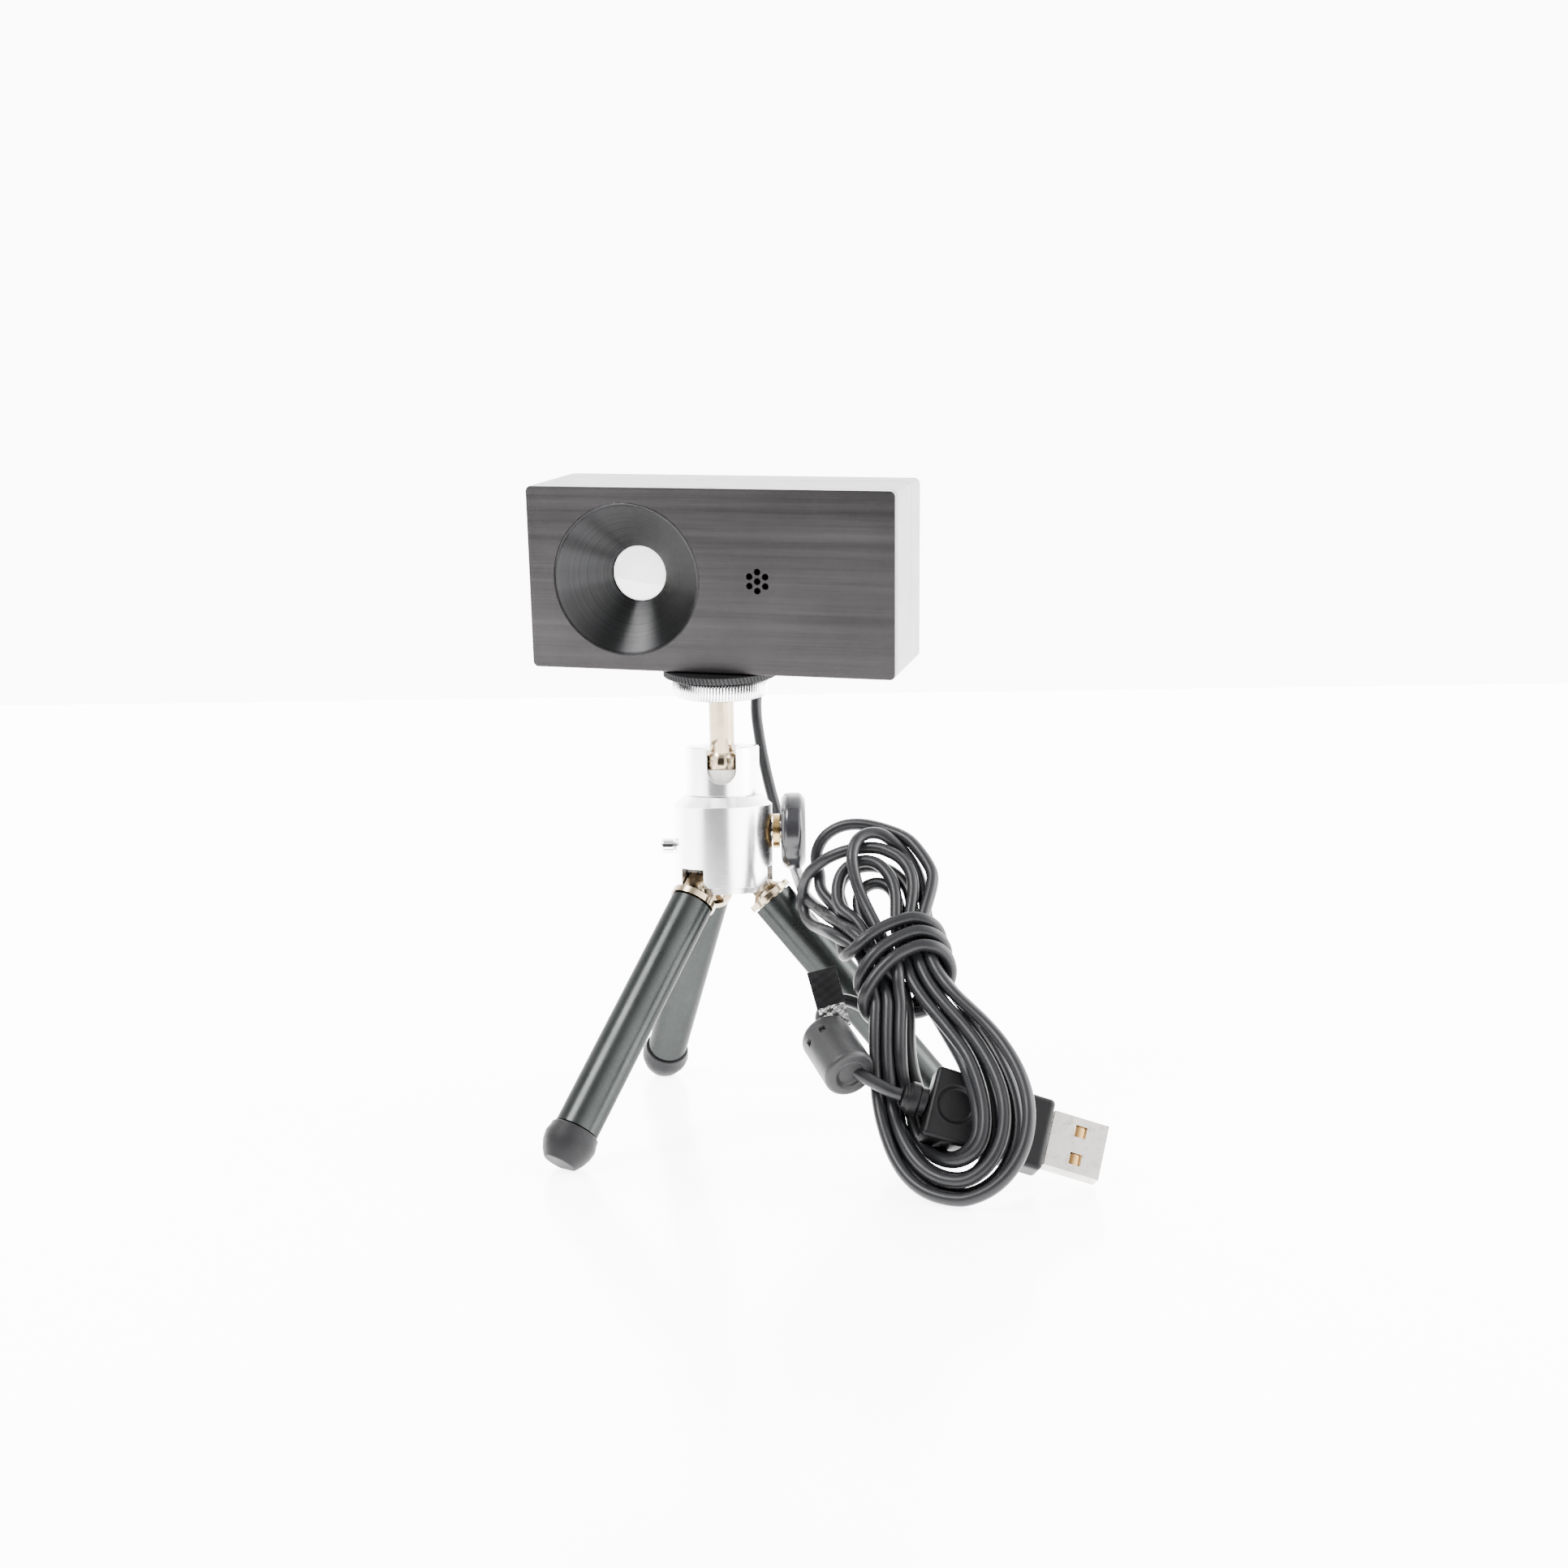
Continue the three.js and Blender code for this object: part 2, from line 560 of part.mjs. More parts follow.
// Nickel cap: round-ended tang, tapered neck, ring and the spigot inside the tube.
function legCap() {
  const tangHalf = 2.2;
  const tang = join(
    block(6, 2 * tangHalf, 3.4, 0, 0, -1.7),
    rod(tangHalf, -3, 3, 16).rotateY(Math.PI / 2),
  );
  const neck = turned([
    [0, -1.6], [2.1, -1.6], [2.9, -3.2], [4.3, -RING_START], [5.5, -RING_START], [5.5, -RING_END],
    [TUBE_BORE - GAP, -RING_END], [TUBE_BORE - GAP, -11], [0, -11],
  ], 28);
  return cut(join(tang, neck), rod(1.5, -5, 5, 12).rotateY(Math.PI / 2));
}

function rubberFoot() {
  const top = FOOT_HEIGHT - LEG_LENGTH;
  return turned([
    [0, top + 5], [TUBE_BORE - GAP, top + 5], [TUBE_BORE - GAP, top], [FOOT_RADIUS - 0.5, top],
    [FOOT_RADIUS - 0.4, top - 1], [FOOT_RADIUS, top - 2.6], [FOOT_RADIUS - 0.3, top - 4.4],
    [FOOT_RADIUS - 1.2, top - 6.4], [FOOT_END_RADIUS, -LEG_LENGTH], [0, -LEG_LENGTH],
  ], 28);
}

function buildLeg(tripod, index) {
  const number = index + 1;
  place(tripod, `hinge_pin_${number}`, acrossLeg(rod(1, -5, 5, 12), index), ...STEEL);
  const leg = new THREE.Group();
  leg.rotation.order = 'ZXY';
  leg.rotation.set(-lean, 0, legAngle(index));
  leg.position.set(0, -PIVOT_RADIUS, 0).applyAxisAngle(Z_AXIS, legAngle(index));
  leg.position.z = PIVOT_Z;
  tripod.add(leg);
  place(leg, `leg_cap_${number}`, legCap(), ...NICKEL);
  const tubeEnd = FOOT_HEIGHT - LEG_LENGTH + GAP;
  place(leg, `leg_tube_${number}`, pipe(TUBE_RADIUS, TUBE_BORE, tubeEnd, -RING_END - GAP, 28), ...GRAPHITE);
  leg.updateMatrix();
  const desk = block(200, 200, 10, 0, 0, -5).applyMatrix4(leg.matrix.clone().setPosition(leg.position).invert());
  place(leg, `rubber_foot_${number}`, cut(rubberFoot(), desk), ...RUBBER);
}

// ---- Cable -----------------------------------------------------------------

// Centreline of the free lead, from the webcam's strain relief over a leg to the hank.
const LEAD_ROUTE = [
  [8.9, 34.4, 119.4], [8.9, 36.6, 112.6], [8.1, 34.2, 104.6], [7.8, 30.2, 97.4], [8.6, 26, 90.8],
  [9.8, 22, 84.4], [11.4, 18.6, 77.6], [13.2, 16, 71.4], [15.2, 13.6, 65.2], [17, 10.6, 59.8],
  [18.8, 5.8, 55.8], [20.6, -0.4, 53.8], [22.8, -7.4, 52.6], [25.4, -14.4, 51.2], [28.2, -21, 49.4],
];

// The hank's plane leans back from the desk against the knob, its right side brought forward.
const HANK_CENTRE = new THREE.Vector3(38.6, -35.2, 46.7);
const HANK_UP = new THREE.Vector3(-0.228, 0.633, 0.74).normalize();
const HANK_YAW = 14;
const HANK_HALF_THICKNESS = 4.2;
const WAIST_MIDDLE = -0.8; // of the hank's waist, across and along its plane
const WAIST_HALF_WIDTH = 8.2;

// Outline of the hank in its plane as [across, along], from the top round to the right.
const HANK_OUTLINE = [
  [-5.4, 35.6], [2, 32.6], [7.5, 27.8], [11.6, 21.6], [13, 13], [10.6, 7], [7.4, 4], [7.4, -0.8], [7.4, -6],
  [11.2, -14], [16.5, -29], [17.8, -42], [15.6, -51], [9.5, -57], [0, -58.4], [-8, -55.5],
  [-12.6, -49], [-14, -41], [-12.6, -32], [-10.2, -20], [-9.4, -11], [-9, -6], [-9, -0.8], [-9, 4],
  [-12.5, 8], [-16.4, 14.5], [-16.8, 21.5], [-14.6, 29.6], [-11.2, 34],
];

function cableHank() {
  const corners = [...HANK_OUTLINE, HANK_OUTLINE[0]].map(([x, y]) => new THREE.Vector2(x, y));
  const shape = new THREE.Shape(new THREE.SplineCurve(corners).getPoints(56).slice(0, -1));
  const eye = new THREE.EllipseCurve(-1.4, -31, 5, 14.5);
  shape.holes.push(new THREE.Path(eye.getPoints(20).slice(0, -1)));
  return extruded(shape, 2 * HANK_HALF_THICKNESS, 6).translate(0, 0, -HANK_HALF_THICKNESS);
}

const WRAP_HALF_LENGTH = 3 * CABLE_RADIUS; // three turns side by side

// The turns wound round the hank's waist, as one sleeve.
function cableWraps() {
  const innerWidth = 2 * (WAIST_HALF_WIDTH + 2 * GAP);
  const innerHeight = 2 * (HANK_HALF_THICKNESS + GAP);
  const outer = roundedRectangle(innerWidth + 4 * CABLE_RADIUS, innerHeight + 4 * CABLE_RADIUS, 3);
  outer.holes.push(roundedRectangle(innerWidth, innerHeight, 0.8));
  const sleeve = extruded(outer, 2 * WRAP_HALF_LENGTH, 3).rotateX(Math.PI / 2);
  return sleeve.translate(WAIST_MIDDLE, WRAP_HALF_LENGTH + WAIST_MIDDLE, 0);
}

const BEAD_CENTRE = new THREE.Vector3(25.2, -49.8, 26.8);
const BEAD_DIRECTION = new THREE.Vector3(0.35, -0.84, -0.41).normalize();
const BEAD_HALF_LENGTH = 7.4;
const BEAD_RADIUS = 5.6;

function ferriteBead() {
  const half = BEAD_HALF_LENGTH;
  const rim = BEAD_RADIUS - 0.9;
  return turned([
    [0, -half], [rim, -half], [BEAD_RADIUS, 0.9 - half], [BEAD_RADIUS, half - 0.9], [rim, half], [0, half],
  ], 24);
}

const PLUG_ORIGIN = new THREE.Vector3(68.6, -58, 10); // where the metal shell leaves the moulding
const PLUG_FACE_RISE = 28; // degrees the plug's flat face looks up
const PLUG_DROP = 20; // degrees the plug points down in the plane of its face
const PLUG_YAW = 8; // degrees its free end points away to the back
const PLUG_LENGTH = 26;
const PLUG_WIDTH = 15.6;
const PLUG_THICKNESS = 7.5;
const RELIEF_LENGTH = 5.2;
const SHELL_LENGTH = 12;
const SHELL_WIDTH = 12;
const SHELL_THICKNESS = 4.5;

function plugMoulding() {
  const outline = roundedRectangle(PLUG_LENGTH, PLUG_WIDTH, 1.6);
  return extruded(outline, PLUG_THICKNESS, 4).translate(-PLUG_LENGTH / 2, 0, -PLUG_THICKNESS / 2);
}

function plugRelief() {
  const start = -PLUG_LENGTH - GAP;
  return turned([
    [0, start - RELIEF_LENGTH], [2.9, start - RELIEF_LENGTH], [3.6, start - RELIEF_LENGTH + 0.7],
    [3.6, start], [0, start],
  ], 16).rotateY(Math.PI / 2);
}

// Folded steel shell of the plug, open at its end, with a latch window in each face.
function usbShell() {
  const wall = 0.4;
  const middle = GAP + SHELL_LENGTH / 2;
  const sleeve = cut(
    block(SHELL_LENGTH, SHELL_WIDTH, SHELL_THICKNESS, middle),
    block(SHELL_LENGTH, SHELL_WIDTH - 2 * wall, SHELL_THICKNESS - 2 * wall, middle + wall),
  );
  const windows = [-1, 1].map((side) => block(2.5, 2.5, 12, GAP + 6.3, side * 3, 0));
  return cut(sleeve, ...windows);
}

function usbTongue() {
  return block(SHELL_LENGTH - 2.4, SHELL_WIDTH - 1.6, 1.6, GAP + SHELL_LENGTH / 2, 0, -0.9);
}

// Thin flag that hangs on the cable, its face to the front.
function flagLabel() {
  return block(5, 0.5, 8.6);
}

const LABEL_CENTRE = new THREE.Vector3(22.4, -42, 40);
const LABEL_SLANT = -15; // degrees

// Route of the cable from the hank's waist to the ferrite bead.
const TAIL_ROUTE = [[24.2, -38.4, 42], [21.8, -38.4, 40.4], [20.2, -38.7, 36.6]];

function along(from, direction, distance) {
  return from.clone().addScaledVector(direction, distance);
}

function hankGroup() {
  const across = new THREE.Vector3(1, 0, 0).applyAxisAngle(Z_AXIS, THREE.MathUtils.degToRad(-HANK_YAW));
  across.addScaledVector(HANK_UP, -across.dot(HANK_UP)).normalize();
  const normal = across.clone().cross(HANK_UP);
  const hank = new THREE.Group();
  hank.quaternion.setFromRotationMatrix(new THREE.Matrix4().makeBasis(across, HANK_UP, normal));
  hank.position.copy(HANK_CENTRE);
  hank.updateMatrix();
  return hank;
}

function plugGroup() {
  const plug = new THREE.Group();
  plug.position.copy(PLUG_ORIGIN);
  plug.rotation.x = THREE.MathUtils.degToRad(90 - PLUG_FACE_RISE);
  plug.rotateZ(-THREE.MathUtils.degToRad(PLUG_DROP));
  plug.rotateOnWorldAxis(Z_AXIS, THREE.MathUtils.degToRad(PLUG_YAW));
  plug.updateMatrix();
  return plug;
}

function buildHank(tripod, plug, tail) {
  const hank = hankGroup();
  const groove = tube(tail, CABLE_RADIUS + 1.5 * GAP, 8);
  const clearance = 2 * 0.4;
  const length = PLUG_LENGTH + RELIEF_LENGTH + 4;
  const passage = block(length, PLUG_WIDTH + clearance, PLUG_THICKNESS + clearance, 2 - length / 2);
  const solid = cut(cableHank().applyMatrix4(hank.matrix), passage.applyMatrix4(plug.matrix), groove);
  place(tripod, 'cable_hank', solid, ...CABLE_BLACK);
  place(tripod, 'cable_wraps', cableWraps().applyMatrix4(hank.matrix), ...CABLE_BLACK);
}

function buildPlug(tripod) {
  const plug = plugGroup();
  tripod.add(plug);
  place(plug, 'plug_relief', plugRelief(), ...BLACK_PLASTIC);
  place(plug, 'plug_moulding', plugMoulding(), ...BLACK_PLASTIC);
  place(plug, 'usb_shell', usbShell(), ...STEEL);
  place(plug, 'usb_tongue', usbTongue(), 0xe8e8ea, 0.5, 0);
  return plug;
}

function buildBead(tripod) {
  const bead = place(tripod, 'ferrite_bead', ferriteBead(), 0x55555a, 0.5, 0);
  bead.quaternion.setFromUnitVectors(Z_AXIS, BEAD_DIRECTION);
  bead.position.copy(BEAD_CENTRE);
  const label = place(tripod, 'flag_label', flagLabel(), 0x1d1c1e, 0.4, 0);
  label.position.copy(LABEL_CENTRE);
  label.rotation.y = THREE.MathUtils.degToRad(LABEL_SLANT);
}

// The cable leaves each fitting straight for this far before it bends.
const STRAIGHT_RUN = 2.5;

function buildCable(tripod, webcam) {
  const glandEnd = new THREE.Vector3(GLAND_X, GLAND_TIP + GAP - SOCKET_SETBACK, GLAND_Z);
  const leadStart = [0, STRAIGHT_RUN].map((reach) => {
    const point = along(glandEnd, new THREE.Vector3(0, 1, 0), reach);
    return tripod.worldToLocal(webcam.localToWorld(point));
  });
  const lead = [...leadStart, ...LEAD_ROUTE.map((point) => new THREE.Vector3(...point))];
  place(tripod, 'cable_lead', tube(lead, CABLE_RADIUS, 36), ...CABLE_BLACK);

  const plug = buildPlug(tripod);
  buildBead(tripod);

  const beadEnd = BEAD_HALF_LENGTH + GAP;
  const upper = [
    ...TAIL_ROUTE.map((point) => new THREE.Vector3(...point)),
    along(BEAD_CENTRE, BEAD_DIRECTION, -beadEnd - STRAIGHT_RUN), along(BEAD_CENTRE, BEAD_DIRECTION, -beadEnd),
  ];
  place(tripod, 'cable_tail_upper', tube(upper, CABLE_RADIUS, 12), ...CABLE_BLACK);

  const reliefEnd = PLUG_LENGTH + 2 * GAP + RELIEF_LENGTH;
  const onPlugAxis = (distance) => new THREE.Vector3(-distance, 0, 0).applyMatrix4(plug.matrix);
  const lower = [
    along(BEAD_CENTRE, BEAD_DIRECTION, beadEnd), along(BEAD_CENTRE, BEAD_DIRECTION, beadEnd + STRAIGHT_RUN),
    onPlugAxis(reliefEnd + STRAIGHT_RUN), onPlugAxis(reliefEnd),
  ];
  place(tripod, 'cable_tail_lower', tube(lower, CABLE_RADIUS, 8), ...CABLE_BLACK);
  buildHank(tripod, plug, lower);
}

// ---- Whole object ----------------------------------------------------------

const part = new THREE.Group();
const tripod = new THREE.Group();
tripod.position.set(AXIS_X, AXIS_Y, 0);
part.add(tripod);
const webcam = buildHead(tripod);
for (let i = 0; i < LEG_COUNT; i += 1) buildLeg(tripod, i);
place(tripod, 'leg_hub', legHub(), ...NICKEL);
place(tripod, 'hub_screw', hubScrew(), ...STEEL);
part.updateMatrixWorld(true);
buildCable(tripod, webcam);

export default part;
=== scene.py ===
"""Looks of a webcam on a folding desk tripod: fine shapes, cable, materials, light and camera.

Shapes are worked out in millimetres and placed in the row frame, which is in metres, +Z up.
"""
import json
import math

import bmesh
import bpy
import numpy as np
from mathutils import Matrix, Vector


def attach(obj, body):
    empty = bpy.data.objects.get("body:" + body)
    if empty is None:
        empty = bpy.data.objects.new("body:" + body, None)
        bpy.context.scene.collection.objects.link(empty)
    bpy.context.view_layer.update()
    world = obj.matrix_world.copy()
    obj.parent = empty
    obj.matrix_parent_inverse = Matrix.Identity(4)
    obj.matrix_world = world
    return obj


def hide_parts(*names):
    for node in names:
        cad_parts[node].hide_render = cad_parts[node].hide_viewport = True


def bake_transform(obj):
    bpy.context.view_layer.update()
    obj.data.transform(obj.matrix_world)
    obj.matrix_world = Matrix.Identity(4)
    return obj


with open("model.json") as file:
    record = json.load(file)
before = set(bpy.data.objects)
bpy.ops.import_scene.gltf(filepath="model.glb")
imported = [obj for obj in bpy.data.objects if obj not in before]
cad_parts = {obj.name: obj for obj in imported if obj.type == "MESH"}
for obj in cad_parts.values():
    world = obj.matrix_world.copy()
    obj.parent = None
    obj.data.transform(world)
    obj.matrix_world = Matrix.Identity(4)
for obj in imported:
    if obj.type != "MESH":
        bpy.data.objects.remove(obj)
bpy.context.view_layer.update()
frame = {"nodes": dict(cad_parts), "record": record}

# ---- Driving dimensions, in millimetres and degrees, as in the CAD ----

MM = 0.001
JOINTS = {joint["name"]: joint for joint in frame["record"]["behaviour"]["joints"]}
BALL = Vector(JOINTS["ball_tilt"]["pos_m"])
AXIS = Vector((BALL.x, BALL.y, 0))  # the tripod's upright axis
CLAMP = Vector(JOINTS["clamp_knob_turn"]["pos_m"])

HEAD_TILT = 10.2
HEAD_RISE = 23.2
WEBCAM_TURN = -15
SOCKET_SETBACK = 8.4
BODY_WIDTH = 87
BODY_HEIGHT = 42.4
BODY_CORNER = 1.3
BODY_DEPTH = 28.6
SEAM_DEPTH = 18.9
PLATE_THICKNESS = 2.2
LENS_X = -19.7
LENS_Z = 21.2
CONE_RADIUS = 17.4
CONE_DEPTH = 9.5
WINDOW_RADIUS = 6.6
GLAND_X = 1.5
GLAND_Z = 6.5
GLAND_LENGTH = 9

BALL_RADIUS = 4.2
POST_RADIUS = 2.95
PAD_RADIUS = 13.4
PAD_THICKNESS = 1.5
WHEEL_RADIUS = 11.35
WHEEL_THICKNESS = 4.6
WHEEL_TEETH = 96
PAD_RIBS = 88
KNOB_RADIUS = 9.1
KNOB_THICKNESS = 5.8
GAP = 0.3

CABLE = 2.8  # diameter
PLUG_ORIGIN = Vector((68.6, -58, 10))
PLUG_FACE_RISE = 28
PLUG_DROP = 20
PLUG_YAW = 8
PLUG_LENGTH = 26
PLUG_WIDTH = 15.6
PLUG_THICKNESS = 7.5
RELIEF_LENGTH = 5.2
BEAD_CENTRE = Vector((25.2, -49.8, 26.8))
BEAD_DIRECTION = Vector((0.35, -0.84, -0.41)).normalized()
BEAD_HALF_LENGTH = 7.4
BEAD_RADIUS = 5.6

STUD_FRAME = Matrix.Translation(BALL) @ Matrix.Rotation(math.radians(HEAD_TILT), 4, "X")
WEBCAM_FRAME = STUD_FRAME @ Matrix.Translation((0, 0, HEAD_RISE * MM))
WEBCAM_FRAME = WEBCAM_FRAME @ Matrix.Rotation(math.radians(WEBCAM_TURN), 4, "Z")
TRIPOD_FRAME = Matrix.Translation(AXIS)


def turned_to(direction):
    """Rotation that takes +Z to a direction."""
    return Vector((0, 0, 1)).rotation_difference(Vector(direction)).to_matrix().to_4x4()


def behind_front(x, z, depth=0):
    """A frame on the webcam whose +Z runs from its front face to the back."""
    place = Matrix.Translation(Vector((x, depth - SOCKET_SETBACK, z)) * MM)
    return WEBCAM_FRAME @ place @ turned_to((0, 1, 0))


def plug_frame():
    """The plug's frame: +X towards its free end, +Z out of its upper face."""
    yaw = Matrix.Rotation(math.radians(PLUG_YAW), 4, "Z")
    rise = Matrix.Rotation(math.radians(90 - PLUG_FACE_RISE), 4, "X")
    drop = Matrix.Rotation(-math.radians(PLUG_DROP), 4, "Z")
    return TRIPOD_FRAME @ Matrix.Translation(PLUG_ORIGIN * MM) @ yaw @ rise @ drop


LENS_FRAME = behind_front(LENS_X, LENS_Z)
PLUG_FRAME = plug_frame()

# ---- Shaders ----


def add(tree, kind, inputs=None, **settings):
    """A new shader node with its settings, its inputs given as values or as sockets to link."""
    made = tree.nodes.new("ShaderNode" + kind)
    for key, value in settings.items():
        setattr(made, key, value)
    for key, value in (inputs or {}).items():
        socket = made.inputs[key]
        if isinstance(value, bpy.types.NodeSocket):
            tree.links.new(value, socket)
        else:
            socket.default_value = value
    return made


def noise(tree, vector, scale, detail=3.0, roughness=0.55):
    inputs = {"Vector": vector, "Scale": scale, "Detail": detail, "Roughness": roughness}
    return add(tree, "TexNoise", inputs).outputs["Fac"]


def mapped(tree, value, low, high, start=0.3, end=0.7):
    inputs = {"Value": value, "From Min": start, "From Max": end, "To Min": low, "To Max": high}
    return add(tree, "MapRange", inputs).outputs["Result"]


def math_node(tree, operation, first, second=0.0):
    return add(tree, "Math", {0: first, 1: second}, operation=operation).outputs[0]


def mixed(tree, factor, first, second):
    """Mix of two colours, each a value or a socket."""
    def rgba(value):
        return value if isinstance(value, bpy.types.NodeSocket) else (*value, 1)
    made = add(tree, "Mix", {0: factor, 6: rgba(first), 7: rgba(second)}, data_type="RGBA")
    return made.outputs[2]


def bumped(tree, height, distance, strength=0.5, normal=None):
    inputs = {"Height": height, "Distance": distance, "Strength": strength}
    if normal is not None:
        inputs["Normal"] = normal
    return add(tree, "Bump", inputs).outputs["Normal"]


def place_of(tree):
    return add(tree, "TexCoord").outputs["Object"]


def along_axis(tree, place, axis):
    """How far a place lies along a fixed axis of the row frame."""
    made = add(tree, "VectorMath", {0: place, 1: tuple(axis)}, operation="DOT_PRODUCT")
    return made.outputs["Value"]


def stretched(tree, place, matrix, scales):
    """The place in a piece's own frame, scaled differently along each of its axes."""
    axes = [matrix.to_3x3().col[i].normalized() for i in range(3)]
    reaches = [along_axis(tree, place, axis) for axis in axes]
    parts = [math_node(tree, "MULTIPLY", reach, scale) for reach, scale in zip(reaches, scales)]
    return add(tree, "CombineXYZ", {i: part for i, part in enumerate(parts)}).outputs[0]


def from_axis(tree, matrix):
    """How far a place lies from a frame's Z axis."""
    ends = {0: place_of(tree), 1: tuple(matrix.translation)}
    offset = add(tree, "VectorMath", ends, operation="SUBTRACT")
    first, second = (along_axis(tree, offset.outputs[0], matrix.to_3x3().col[i].normalized()) for i in (0, 1))
    square = math_node(
        tree, "ADD", math_node(tree, "MULTIPLY", first, first), math_node(tree, "MULTIPLY", second, second))
    return math_node(tree, "SQRT", square), offset.outputs[0]


def finish(name, first, second, roughness, metallic=0.0, grain=900.0, depth=0.00002, patches=90.0, **sockets):
    """A surface with uneven colour, uneven gloss and a fine grain. Returns its material, tree and shader."""
    material = bpy.data.materials.new(name)
    material.use_nodes = True
    tree = material.node_tree
    shader = tree.nodes["Principled BSDF"]
    place = place_of(tree)
    tone = mapped(tree, noise(tree, place, patches, 4.0), 0.0, 1.0)
    feed(shader, "Base Color", mixed(tree, tone, first, second))
    smudge = noise(tree, place, patches * 2.3, 5.0, 0.65)
    feed(shader, "Roughness", mapped(tree, smudge, *roughness))
    feed(shader, "Normal", bumped(tree, noise(tree, place, grain, 4.0), depth))
    shader.inputs["Metallic"].default_value = metallic
    for key, value in sockets.items():
        shader.inputs[key.replace("_", " ")].default_value = value
    return material, tree, shader


def feed(shader, name, socket):
    shader.id_data.links.new(socket, shader.inputs[name])


def speckled(tree, shader, share, color):
    """Lets a second colour show through the surface's own."""
    base = shader.inputs["Base Color"].links[0].from_socket
    feed(shader, "Base Color", mixed(tree, share, base, color))


def streaks(tree, matrix, scales, detail, roughness):
    """Noise drawn out along the axes of a frame."""
    return noise(tree, stretched(tree, place_of(tree), matrix, scales), 1.0, detail, roughness)


def brushed_dark():
    """Dark anodised front plate, brushed from side to side."""
    material, tree, shader = finish(
        "brushed dark aluminium", (0.032, 0.0302, 0.031), (0.041, 0.0387, 0.0398), (0.3, 0.42), 0.9,
        patches=40.0, Anisotropic=0.55)
    fine = streaks(tree, WEBCAM_FRAME, (30, 300, 9000), 6.0, 0.7)
    broad = streaks(tree, WEBCAM_FRAME, (8, 100, 420), 4.0, 0.6)
    both = math_node(tree, "ADD", fine, broad)
    dark = mapped(tree, both, 0.0, 1.0, 0.7, 1.3)
    base = shader.inputs["Base Color"].links[0].from_socket
    tint = mixed(tree, dark, (0.6, 0.595, 0.6), (1.0, 1.0, 1.0))
    made = add(tree, "Mix", {0: 1.0, 6: base, 7: tint}, data_type="RGBA", blend_type="MULTIPLY")
    feed(shader, "Base Color", made.outputs[2])
    feed(shader, "Roughness", mapped(tree, both, 0.28, 0.46, 0.7, 1.3))
    feed(shader, "Normal", bumped(tree, fine, 0.00003, 0.45))
    upright = add(tree, "CombineXYZ", dict(enumerate(WEBCAM_FRAME.to_3x3().col[2])))
    feed(shader, "Tangent", upright.outputs[0])
    return material


def turned_dark():
    """Dark funnel with the fine grooves that a lathe leaves."""
    material, tree, shader = finish(
        "turned dark aluminium", (0.03, 0.03, 0.031), (0.04, 0.04, 0.041), (0.27, 0.33), 0.9, patches=60.0,
        Anisotropic=0.9)
    radius, offset = from_axis(tree, LENS_FRAME)
    groove = math_node(tree, "SINE", math_node(tree, "MULTIPLY", radius, 2 * math.pi / (0.42 * MM)))
    feed(shader, "Normal", bumped(tree, groove, 0.00001, 0.03))
    feed(shader, "Tangent", offset)
    rings = add(tree, "CombineXYZ", {0: math_node(tree, "MULTIPLY", radius, 2600.0)})
    tone = mapped(tree, noise(tree, rings.outputs[0], 1.0, 3.0, 0.6), 0.0, 1.0, 0.3, 0.7)
    feed(shader, "Base Color", mixed(tree, tone, (0.009, 0.009, 0.0094), (0.019, 0.019, 0.0195)))
    return material


def satin_silver():
    material, tree, shader = finish(
        "satin silver shell", (0.42, 0.42, 0.427), (0.48, 0.48, 0.487), (0.3, 0.4), 0.85, grain=2600.0,
        Specular_Tint=(0.3, 0.3, 0.3, 1))
    lines = streaks(tree, WEBCAM_FRAME, (60, 60, 7000), 5.0, 0.7)
    feed(shader, "Normal", bumped(tree, lines, 0.00001, 0.35))
    return material


def satin_chrome():
    """Bright metal turned to a soft sheen."""
    material, tree, shader = finish(
        "turned bright metal", (0.85, 0.845, 0.85), (0.92, 0.915, 0.92), (0.2, 0.26), 1.0, depth=0.000002)
    lines = streaks(tree, Matrix.Identity(4), (120, 120, 9000), 4.0, 0.7)
    feed(shader, "Roughness", mapped(tree, lines, 0.17, 0.28))
    return material


def with_painted_valley_shade(name, matrix, radius, valley_shade, crest, roughness, metallic, **sockets):
    """A finish with painted shade in the valleys of a knurled or ribbed rim: darker there than on the crests.
    """
    material, tree, shader = finish(name, crest, crest, roughness, metallic, **sockets)
    # Painted shade: the colour runs from the valley colour deep in the rim to the crest colour at its
    # outside.
    reach = mapped(tree, from_axis(tree, matrix)[0], 0.0, 1.0, (radius - 0.3) * MM, (radius - 0.03) * MM)
    base = shader.inputs["Base Color"].links[0].from_socket
    feed(shader, "Base Color", mixed(tree, reach, valley_shade, base))
    return material


def steel():
    """Bright zinc-plated steel with faint tarnish."""
    material, tree, shader = finish(
        "zinc plated steel", (0.3, 0.288, 0.272), (0.4, 0.388, 0.368), (0.2, 0.34), 1.0, depth=0.00001)
    tarnish = noise(tree, place_of(tree), 420.0, 6.0, 0.7)
    speckled(tree, shader, mapped(tree, tarnish, 0.0, 0.75, 0.5, 0.68), (0.17, 0.15, 0.125))
    return material


def graphite():
    """Satin grey-green lacquer over metal tube, with lacquer specks."""
    material, tree, shader = finish(
        "graphite lacquer", (0.016, 0.0182, 0.0176), (0.022, 0.0246, 0.0238), (0.26, 0.36), 0.85,
        grain=1800.0, depth=0.00001, Coat_Weight=0.08, Coat_Roughness=0.18,
        Specular_Tint=(0.2, 0.215, 0.21, 1))
    speck = noise(tree, place_of(tree), 5200.0, 2.0)
    speckled(tree, shader, mapped(tree, speck, 0.0, 0.5, 0.6, 0.72), (0.055, 0.06, 0.058))
    return material


